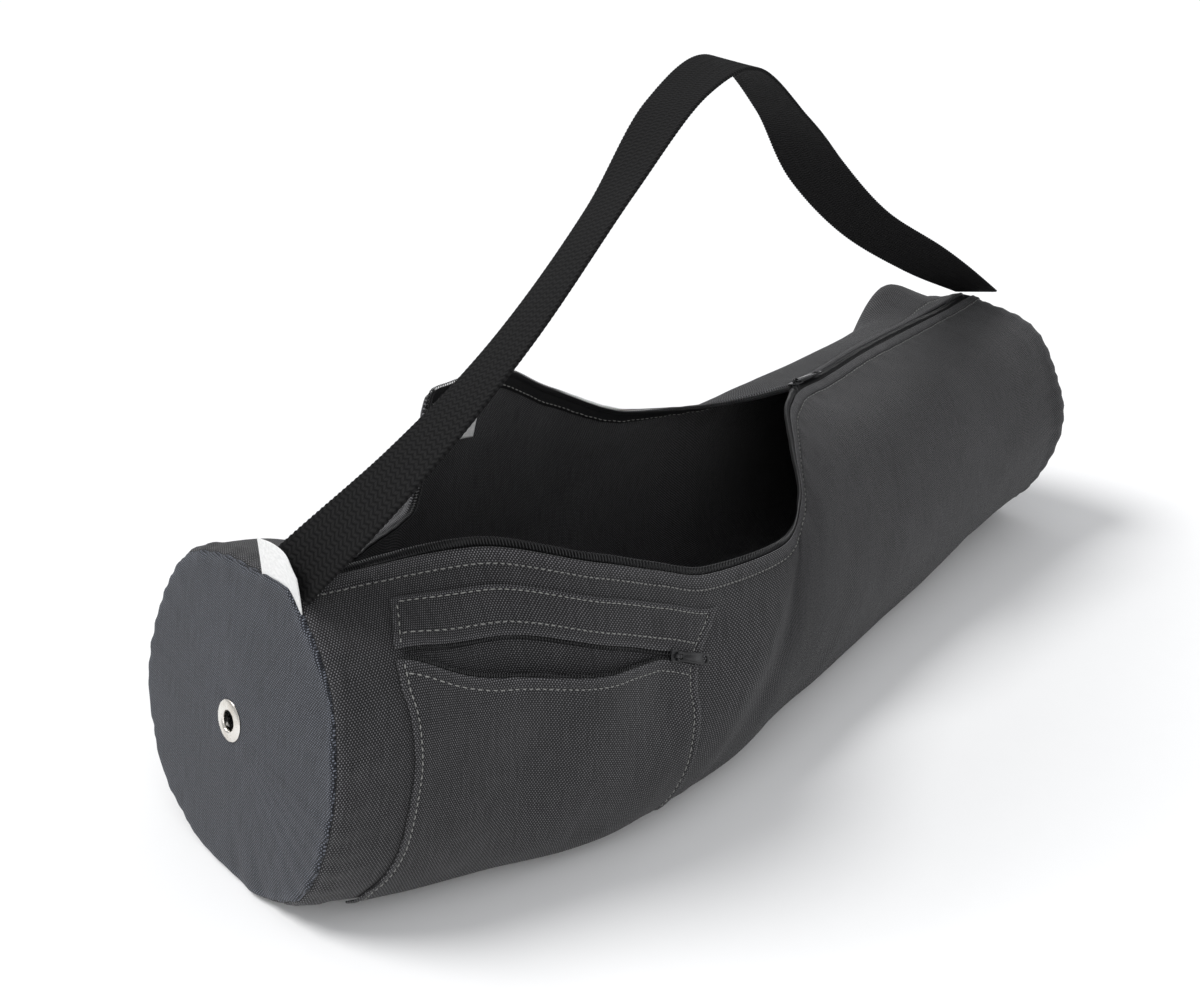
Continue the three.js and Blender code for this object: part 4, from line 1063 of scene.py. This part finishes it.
def panel_waves(x, mm, side, top, foot):
    """Soft waves of the slack panel, which its seams hold still."""
    slack = np.clip(side / SIDE_HOLD, 0, 1)
    slack = slack * np.clip((foot - mm) / SEAM_HOLD, 0, 1) * np.clip((mm - top) / SEAM_HOLD, 0, 1)
    return slack * (PANEL_WAVE * np.sin(x / 19 - mm / 15 + 0.6) + PANEL_RIPPLE * np.sin(x / 8.5 + mm / 21))


def pocket():
    wide = POCKET_TO - POCKET_FROM
    share = edge_steps(0, wide, 2.6, POCKET_STEPS)[:, None] / wide
    side = np.minimum(share, 1 - share) * wide
    mm = edge_steps(POCKET_DROP, BAND_FOOT, 2.0, POCKET_STEPS[:-1])[None, :]
    x = across_pocket(share, mm)
    lift = LAY_GAP + POCKET_CLOTH / 2 + band_rise(mm)
    edges = [(side + 0 * mm, SIDE_SEAM), (mm - POCKET_DROP + 0 * x, BAND_STITCH),
             (BAND_FOOT - mm + 0 * x, BAND_FOOT_STITCH)]
    sewn_sheet("band", "pocket_band", x, mm + 0 * x, lift + 0 * x, edges, band_waves(x, mm, side))

    rows = edge_steps(0, 1, 0.021, [step / 115 for step in POCKET_STEPS])[None, :]
    flat = POCKET_FROM + share * wide
    top, foot = panel_top(flat), panel_foot(flat)
    x = across_pocket(share, top + (foot - top) * rows)
    for _ in range(2):
        top, foot = panel_top(x), panel_foot(x)
        x = across_pocket(share, top + (foot - top) * rows)
    mm = top + (foot - top) * rows
    lift = PANEL_GAP + POCKET_CLOTH / 2 + pocket_pouch(x, rows)
    edges = [(side + 0 * mm, SIDE_SEAM), (mm - top, PANEL_STITCH), (foot - mm, 0)]
    sewn_sheet("panel", "pocket_panel", x, mm, lift, edges, panel_waves(x, mm, side, top, foot))


pocket()


COIL_INSET = POCKET_COIL + SEW_GAP
POCKET_COIL_HALF_WIDTH = 0.85
POCKET_COIL_HALF_HEIGHT = 0.6


def pocket_coil(name, node, mm_at, pouched, phase):
    x, angle = turns(seam_at(POCKET_FROM, SLOT_MIDDLE) + POCKET_ZIP_INSET,
                     seam_at(POCKET_TO, SLOT_MIDDLE) - POCKET_ZIP_INSET, phase)
    lift = POCKET_COIL_LIFT + (POCKET_POUCH * slot_open(x) if pouched else 0)
    middle = mm_at(x)
    centres = on_cloth(x, middle + POCKET_COIL_HALF_WIDTH * np.cos(angle),
                       lift + POCKET_COIL_HALF_HEIGHT * np.sin(angle))
    wound(name, node, centres, on_cloth(x, middle, lift))


pocket_coil("pocket_zip_upper", "pocket_coil_upper", lambda x: BAND_FOOT + COIL_INSET + 0 * x, False, 0.0)
pocket_coil("pocket_zip_lower", "pocket_coil_lower", lambda x: panel_top(x) - COIL_INSET, True, math.pi)


# Sliders and pulls: X runs to the closed side of the zip and Z out of the cloth
OPEN_CUT = 1.6
OPEN_NOSE = 0.62
CLOSED_CUT = 1.2
CLOSED_SHOULDER = 0.82
CLOSED_NOSE = 0.5
WEDGE_SETBACK = 0.5
WEDGE_HALF_WIDTH = 0.7
BRIDGE_BAR = PLATE * 0.8
PULL_NECK = 0.66
PULL_SHOULDER = 0.8
PULL_WAIST = 0.92
NECK_ROOM = 0.5
NECK_CORNER = 0.4
SWING_ROOM = 0.9
EYE_SETBACK = 0.3
RIM_RADIUS = 0.55
RIM_OUT = 0.75
RIM_STAND = 1.45
RAISED_BY = 0.18


def cut_plate(loops, low, high, bevel):
    """A plate with rounded edges between two heights, from an outline and its holes."""
    curve = bpy.data.curves.new("outline", "CURVE")
    curve.dimensions = "2D"
    curve.fill_mode = "BOTH"
    curve.extrude = (high - low) / 2 - bevel
    curve.bevel_depth = bevel
    curve.bevel_resolution = 2
    curve.offset = -bevel
    for loop in loops:
        line = curve.splines.new("POLY")
        line.points.add(len(loop) - 1)
        line.points.foreach_set("co", np.array([(x, y, 0, 1) for x, y in loop], dtype=float).ravel())
        line.use_cyclic_u = True
    holder = placed("outline", curve)
    view = bpy.context.evaluated_depsgraph_get()
    mesh = bpy.data.meshes.new_from_object(holder.evaluated_get(view))
    points = np.array([v.co[:] for v in mesh.vertices]) + (0, 0, (low + high) / 2)
    faces = [tuple(f.vertices) for f in mesh.polygons]
    bpy.data.objects.remove(holder)
    bpy.data.curves.remove(curve)
    bpy.data.meshes.remove(mesh)
    return welded(points, faces)


def welded(points, faces):
    """The same faces with coincident points joined."""
    keys = np.round(points / 0.002).astype(int)
    _, first, place = np.unique(keys, axis=0, return_index=True, return_inverse=True)
    place = place.ravel()
    kept = []
    for face in faces:
        corners = list(dict.fromkeys(int(place[k]) for k in face))
        if len(corners) > 2:
            kept.append(tuple(corners))
    return points[first], kept


def circle(x, y, radius, count=28, start=0.0, end=2 * math.pi, closed=True):
    return [(x + radius * math.cos(a), y + radius * math.sin(a))
            for a in np.linspace(start, end, count, endpoint=not closed)]


def mirrored(side):
    """A closed outline from one side of it, mirrored in the X axis."""
    return side + [(x, -y) for x, y in reversed(side)]


def softened(outline, rounds=2):
    """An outline with its corners cut back, as a casting's are."""
    for _ in range(rounds):
        outline = [(a * x0 + (1 - a) * x1, a * y0 + (1 - a) * y1)
                   for (x0, y0), (x1, y1) in zip(outline, outline[1:] + outline[:1]) for a in (0.78, 0.22)]
    return outline


def swept(path, across, half_width, half_height, sides=12):
    """A bar along a flat path in the XZ plane, its section rounded."""
    path = np.array(path, dtype=float)
    out = np.cross(unit(np.gradient(path, axis=0)), across)
    angles = np.linspace(0, 2 * math.pi, sides, endpoint=False)
    wide, high = (size * np.sign(share) * np.abs(share) ** 0.6
                  for size, share in ((half_width, np.cos(angles)), (half_height, np.sin(angles))))
    rings = path[:, None] + wide[None, :, None] * across + high[None, :, None] * out[:, None]
    return tube_mesh(rings)


def merged(parts):
    """One mesh from several."""
    points, faces, start = [], [], 0
    for part_points, part_faces in parts:
        points.append(part_points)
        faces += [tuple(int(k) + start for k in face) for face in part_faces]
        start += len(part_points)
    return np.concatenate(points), faces


def slider_parts(length, width, coil, tape, thickness):
    """Two plates with cut-back corners, the post between them and the bridge over the upper one."""
    half, wide = length / 2, width / 2
    upper = coil + SEW_GAP
    lower = -coil - SEW_GAP - tape
    outline = softened(mirrored([(-half, -wide * OPEN_NOSE), (-half + OPEN_CUT, -wide),
                                 (half - CLOSED_CUT, -wide * CLOSED_SHOULDER), (half, -wide * CLOSED_NOSE)]))
    open_end = WEDGE_SETBACK - half
    post = softened(mirrored([(open_end, -WEDGE_HALF_WIDTH), (open_end + PLATE, -WEDGE_HALF_WIDTH)]), 1)
    top = upper + thickness
    arch = BRIDGE_BORE + BRIDGE_BAR / 2
    path = [(arch, 0, top - PLATE / 2), (arch, 0, top + BRIDGE_RISE * 0.5)]
    path += [(arch * math.cos(a), 0, top + BRIDGE_RISE + arch * math.sin(a))
             for a in np.linspace(0, math.pi, 15)]
    path += [(-arch, 0, top + BRIDGE_RISE * 0.5), (-arch, 0, top - PLATE / 2)]
    return [
        cut_plate([outline], upper, top, 0.32),
        cut_plate([outline], lower - thickness, lower, 0.28),
        cut_plate([post], lower - thickness / 2, upper + thickness / 2, 0.15),
        swept(path, np.array([0.0, 1.0, 0.0]), BRIDGE_WIDTH / 2 + 0.15, BRIDGE_BAR / 2),
    ]


def pull_parts(length, width, eye_radius):
    """A flat pull with a slot round the bridge, a raised middle and a rimmed eye at its round end."""
    bar, half = PULL_THICKNESS / 2, width / 2
    neck = BRIDGE_WIDTH / 2 + NECK_ROOM
    slot_end = BRIDGE_BORE + BRIDGE_BAR + SWING_ROOM
    round_at = length - half
    edge = [(-bar, -half * PULL_NECK), (0.4, -half * PULL_SHOULDER), (4.5, -half * PULL_SHOULDER),
            (round_at - 3, -half * PULL_WAIST)]
    arc = circle(round_at, 0, half, 20, -math.pi / 2.3, math.pi / 2.3, closed=False)
    outline = edge + arc + mirrored(edge)[len(edge):]
    slot = mirrored([(bar, neck), (slot_end - NECK_CORNER, neck), (slot_end, neck - NECK_CORNER)])
    eye_at = round_at - EYE_SETBACK
    eye = circle(eye_at, 0, eye_radius)[::-1]
    ring = circle(eye_radius + RIM_OUT, 0, RIM_RADIUS, 8)
    rim = [[(eye_at + out * math.cos(turn), out * math.sin(turn), z * RIM_STAND) for out, z in ring]
           for turn in np.linspace(0, 2 * math.pi, 33)]
    raised = mirrored([(slot_end + 1.6, -half * 0.42), (eye_at - eye_radius - 2.6, -half * 0.5)])
    return [
        cut_plate([outline, slot, eye], -bar, bar, 0.28),
        welded(*tube_mesh(np.array(rim), closed_ends=False)),
        cut_plate([softened(raised)], -bar - RAISED_BY, bar + RAISED_BY, 0.15),
    ]


def dressed_slider(prefix, joint, ahead, casting, levels):
    """A slider and its pull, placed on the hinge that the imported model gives."""
    hinge = next(j for j in frame["joints"] if j["name"] == joint)
    at = np.array(hinge["pos_m"]) / MM + ORIGIN
    y = -unit(np.array(hinge["axis"], dtype=float))
    x = unit(ahead - y * (ahead @ y))
    z = np.cross(x, y)
    turn = np.stack([x, y, z])
    coil, tape, thickness = levels
    height = coil + SEW_GAP + thickness + BRIDGE_RISE
    points, faces = merged(slider_parts(*casting[:2], coil, tape, thickness))
    add_mesh(f"{prefix}_zip_slider", (points - (0, 0, height)) @ turn + at, faces, slider_enamel,
             [f"{prefix}_slider"])
    points, faces = merged(pull_parts(*casting[2:]))
    add_mesh(f"{prefix}_zip_pull", points @ turn + at, faces, slider_enamel,
             [f"{prefix}_pull"], body=f"{prefix}_pull")


def zip_middle(x):
    """A place on the zip's middle line, between its two coils."""
    x = np.array([float(x)])
    out = np.array([COIL_OUT])
    return (beside(0, x, out, COIL_LIFT)[0] + beside(1, x, out, COIL_LIFT)[0]) / 2


dressed_slider("zip", "zip_pull_hinge", zip_middle(SLIDER_AT + SLIDER_LENGTH) - zip_middle(SLIDER_AT),
               (SLIDER_LENGTH, SLIDER_WIDTH, PULL_LENGTH, PULL_WIDTH, PULL_EYE),
               (COIL_RADIUS, TAPE_THICKNESS, PLATE))
closed_end, slider_place = (on_cloth(x, SLOT_MIDDLE, POCKET_COIL_LIFT) for x in (POCKET_TO, POCKET_SLIDER_AT))
dressed_slider("pocket", "pocket_pull_hinge", closed_end - slider_place,
               (POCKET_SLIDER_LENGTH, POCKET_SLIDER_WIDTH, POCKET_PULL_LENGTH, POCKET_PULL_WIDTH,
                POCKET_PULL_EYE), (POCKET_COIL, 0, POCKET_PLATE))


# Strap: webbing with rounded, slightly serrated edges
STRAP_ROW = 0.75
SERRATION = 0.35
STRAP_LENGTH_SAMPLES = 600


def strap():
    shares = np.linspace(0, 1, STRAP_LENGTH_SAMPLES)
    centre = strap_frame(shares)[0]
    walked = walk(centre)
    s = spaced(0, walked[-1], STRAP_ROW)
    centre, _, width, up = strap_frame(np.interp(s, walked, shares))
    half, thick = STRAP_WIDTH / 2, STRAP_THICKNESS / 2
    angles = np.radians((0, 30, 60, 90))
    edge = half - thick + thick * np.cos(angles)
    level = thick * np.sin(angles)
    flat = np.linspace(half - thick, thick - half, 27)[1:-1]
    across = np.concatenate([edge, flat, -edge[::-1]])
    height = np.concatenate([level, np.full(len(flat), thick), level[::-1]])
    across = np.concatenate([across, across[::-1][1:-1]])
    height = np.concatenate([height, -height[::-1][1:-1]])
    lean = np.abs((across / RIB_COLUMN) % 2 - 1)
    rib = np.sin(2 * math.pi * (s[:, None] + 1.6 * lean[None, :]) / RIB_PITCH)
    at_edge = np.abs(across) > half - 1.5
    tooth = 1 + SERRATION / half * np.sin(2 * math.pi * s / RIB_PITCH)[:, None] * at_edge
    ribbed = height * (1 + 0.09 * rib) * np.where(np.abs(height) > 0.9, 1, 0.92)
    wave = 0.25 * np.sin(s / 37)[:, None]
    rings = (centre[:, None] + width[:, None] * (across * tooth)[..., None]
             + up[:, None] * (ribbed + wave)[..., None])
    points, faces = tube_mesh(rings)
    add_mesh("strap_web", points, faces, strap_webbing, ["strap"],
             cloth=cloth_grid(s[:, None], across[None, :]))


strap()


# Labels, both blank
def seam_label():
    """A folded satin label that stands up from the near seam."""
    _, normal = seam_plane(0)
    drop = np.linspace(-SEAM_LABEL_SPAN, SEAM_LABEL_SPAN, 25)
    mm = np.where(drop < 0, GIRTH + drop, drop)
    base = sample(SKIN, 0, mm)
    smooth = base.copy()
    for _ in range(6):
        smooth[1:-1] = (smooth[:-2] + smooth[1:-1] + smooth[2:]) / 3
    rise = np.concatenate([np.linspace(-1, SEAM_LABEL_HEIGHT - 1, 16),
                           SEAM_LABEL_HEIGHT - np.array([0.6, 0.3, 0.1, 0])])
    half = LABEL_THICKNESS / 2
    round_off = np.sqrt(np.maximum(half ** 2 - np.maximum(half - (SEAM_LABEL_HEIGHT - rise), 0) ** 2, 0.003))
    curl = 0.9 * (rise / SEAM_LABEL_HEIGHT) ** 2
    middle = SEW_GAP + half + curl[:, None] * (0.6 + 0.4 * np.sin(drop / 6)[None, :])

    def face(sign):
        lift = middle + sign * round_off[:, None]
        up = np.array([0.0, 0.0, 1.0])
        return smooth[None] + normal * lift[..., None] + up * rise[:, None, None]

    points, faces = sheet_mesh(face(1), face(-1))
    add_mesh("seam_tag", points, faces, label_satin, ["seam_label"],
             cloth=cloth_grid(drop[None, :], rise[:, None]))


def care_label():
    """A satin label that hangs inside the rear wall from its upper edge."""
    x = spaced(CARE_LABEL_FROM, CARE_LABEL_FROM + CARE_LABEL_WIDTH, 1.5)[:, None]
    down = spaced(0, CARE_LABEL_HEIGHT, 1.5)[None, :]
    mm = GIRTH - CARE_LABEL_DROP - down
    share = down / CARE_LABEL_HEIGHT
    across = (x - CARE_LABEL_FROM) / CARE_LABEL_WIDTH - 0.5
    away = -CANVAS - LAY_GAP - 1.8 * share ** 2 * (0.6 + across)
    points, faces = sheet_mesh(on_cloth(x, mm, away), on_cloth(x, mm, away - LABEL_THICKNESS))
    add_mesh("care_tag", points, faces, label_satin, ["care_label"], cloth=cloth_grid(x, down))


seam_label()
care_label()


# Stitches: short bent threads that dip into the cloth at both ends
STITCH_PITCH = 3.7
STITCH_LENGTH = 2.6
STITCH_RISE = 0.42
STITCH_DIP = 0.12
STITCH_HALF_WIDTH = 0.36
STITCH_HALF_HEIGHT = 0.27
STITCH_SINK = 0.3
STITCH_STRAY = 0.12
STITCH_RINGS = 7
STITCH_SIDES = 6
PATH_STEP = 1.2
SEAM_END = 0.8


def stitch_row(x, mm, lift, inside=False):
    """Points, faces and thread coordinates of a row of stitches along a path on the cloth."""
    x, mm, lift = (np.asarray(v, dtype=float) for v in np.broadcast_arrays(x, mm, lift))
    walked = walk(on_cloth(x, mm, lift))
    count = int((walked[-1] - 1) / STITCH_PITCH)
    middles = 0.5 + (np.arange(count) + 0.5) * (walked[-1] - 1) / count
    jitter = np.random.RandomState(count).uniform(-STITCH_STRAY, STITCH_STRAY, size=(count, 2))
    t = np.linspace(-1, 1, STITCH_RINGS)
    s = middles[:, None] + (t * STITCH_LENGTH / 2)[None, :] * (1 + jitter[:, :1])
    at_x, at_mm, at_lift = (np.interp(s, walked, v) for v in (x, mm, lift))
    out = sample(OUTWARD, at_x, at_mm) * (-1 if inside else 1)
    centre = on_cloth(at_x, at_mm, at_lift)
    across = np.cross(out, unit(np.gradient(centre, axis=1)))
    centre = centre + out * (STITCH_RISE * (1 - t ** 2) - STITCH_DIP)[None, :, None]
    centre = centre + across * (jitter[:, 1:] * t[None, :] * 1.6)[..., None]
    angles = np.linspace(0, 2 * math.pi, STITCH_SIDES, endpoint=False)
    size = np.sqrt(np.maximum(1 - np.abs(t) ** 5, 0.02))[None, :, None, None]
    rings = (centre[:, :, None] + size * (across[:, :, None] * STITCH_HALF_WIDTH * np.cos(angles)[:, None]
                                          + out[:, :, None] * STITCH_HALF_HEIGHT * np.sin(angles)[:, None]))
    single, faces = tube_mesh(rings[0])
    every = [tuple(k + n * len(single) for k in face) for n in range(count) for face in faces]
    return rings.reshape(-1, 3), every, cloth_grid(s[:, :, None], angles * 0.3).reshape(-1, 3)


def stitching(name, rows):
    parts = [stitch_row(*row) for row in rows]
    points, faces = merged([(p, f) for p, f, _ in parts])
    add_mesh(name, points, faces, thread_cloth, cloth=np.concatenate([c for _, _, c in parts]))


def zip_rows(lip):
    """Paths of the stitches beside a lip: on the outside, and on the tape inside."""
    x = spaced(SEAM_ROLL + 1, BAG_LENGTH - SEAM_ROLL - 1, 1.5)
    mm = STITCH_ROW if lip == 0 else GIRTH - STITCH_ROW
    outer = (x, mm, 0.05 - STITCH_GROOVE)
    inner = (x[5:-5], mm, TAPE_TOP - TAPE_THICKNESS, True)
    return [outer, inner]


def across_row(mm):
    """Stations of a row of stitches across the pocket, and how far each is from the nearer side seam."""
    x = spaced(seam_at(POCKET_FROM, mm) + SIDE_SEAM, seam_at(POCKET_TO, mm) - SIDE_SEAM, PATH_STEP)
    return x, np.minimum(x - x[0], x[-1] - x) + SIDE_SEAM


def band_row(x, mm, side):
    return x, mm, LAY_GAP + POCKET_CLOTH - STITCH_SINK + band_rise(mm) + band_waves(x, mm, side)


def panel_row(x, mm, side):
    top, foot = panel_top(x), panel_foot(x)
    stand = pocket_pouch(x, np.clip((mm - top) / (foot - top), 0, 1)) + panel_waves(x, mm, side, top, foot)
    return x, mm, PANEL_GAP + POCKET_CLOTH - STITCH_SINK + stand


def pocket_rows():
    rows = []
    for mm in (POCKET_DROP + BAND_STITCH, BAND_FOOT - BAND_FOOT_STITCH):
        x, side = across_row(mm)
        rows.append(band_row(x, mm, side))
    x, side = across_row(PANEL_TOP + PANEL_STITCH)
    rows.append(panel_row(x, panel_top(x) + PANEL_STITCH, side))
    for seam, inward in ((POCKET_FROM, SIDE_SEAM), (POCKET_TO, -SIDE_SEAM)):
        mm = spaced(POCKET_DROP + BAND_STITCH, BAND_FOOT - SEAM_END, PATH_STEP)
        rows.append(band_row(seam_at(seam, mm) + inward, mm, SIDE_SEAM))
        start = panel_top(seam_at(seam, PANEL_TOP) + inward)
        mm = spaced(start + SEAM_END, float(panel_foot(seam)) - SEAM_END, PATH_STEP)
        rows.append(panel_row(seam_at(seam, mm) + inward, mm, SIDE_SEAM))
    return rows


stitching("front_topstitch", zip_rows(0))
stitching("rear_topstitch", zip_rows(1))
stitching("pocket_topstitch", pocket_rows())


# Studio: white floor, a broad key light from behind on the left, soft fill, and the photograph's camera
CAMERA_AT = (-0.57380, -0.49078, 0.45014)
CAMERA_AZIMUTH = 46.10
CAMERA_ELEVATION = -24.53
CAMERA_LENS = 37.2
FLOOR_HALF = 30
WORLD_LIGHT = 0.62
KEY_STRENGTH = 2.1
KEY_FROM = (-0.62, 0.75, 1.25)
KEY_ANGLE = 24
FILL_POWER = 7.0
FILL_AT = (-1.1, -1.5, 0.9)
FILL_SIZE = 1.2


def studio():
    mesh = bpy.data.meshes.new("floor")
    corners = [(x * FLOOR_HALF, y * FLOOR_HALF, -0.0003) for x, y in ((-1, -1), (1, -1), (1, 1), (-1, 1))]
    mesh.from_pydata(corners, [], [(0, 1, 2, 3)])
    mesh.materials.append(floor_paint())
    placed("floor", mesh)

    world = bpy.data.worlds.new("studio")
    world.use_nodes = True
    background = world.node_tree.nodes["Background"]
    background.inputs["Color"].default_value = (0.97, 0.98, 1.0, 1.0)
    background.inputs["Strength"].default_value = WORLD_LIGHT
    bpy.context.scene.world = world

    for name, kind, power, at, measure, size in (
            ("key", "SUN", KEY_STRENGTH, KEY_FROM, "angle", math.radians(KEY_ANGLE)),
            ("fill", "AREA", FILL_POWER, FILL_AT, "size", FILL_SIZE)):
        light = bpy.data.lights.new(name, kind)
        light.energy = power
        setattr(light, measure, size)
        lamp = placed(name, light)
        lamp.location = at
        lamp.rotation_euler = Vector(at).to_track_quat("Z", "Y").to_euler()

    camera = bpy.data.cameras.new("camera")
    camera.lens = CAMERA_LENS
    camera.clip_end = 100
    holder = placed("camera", camera)
    holder.location = CAMERA_AT
    azimuth, elevation = math.radians(CAMERA_AZIMUTH), math.radians(CAMERA_ELEVATION)
    level = math.cos(elevation)
    ahead = Vector((level * math.cos(azimuth), level * math.sin(azimuth), math.sin(elevation)))
    holder.rotation_euler = ahead.to_track_quat("-Z", "Y").to_euler()
    bpy.context.scene.camera = holder
    bpy.context.scene.view_settings.view_transform = "Standard"


studio()
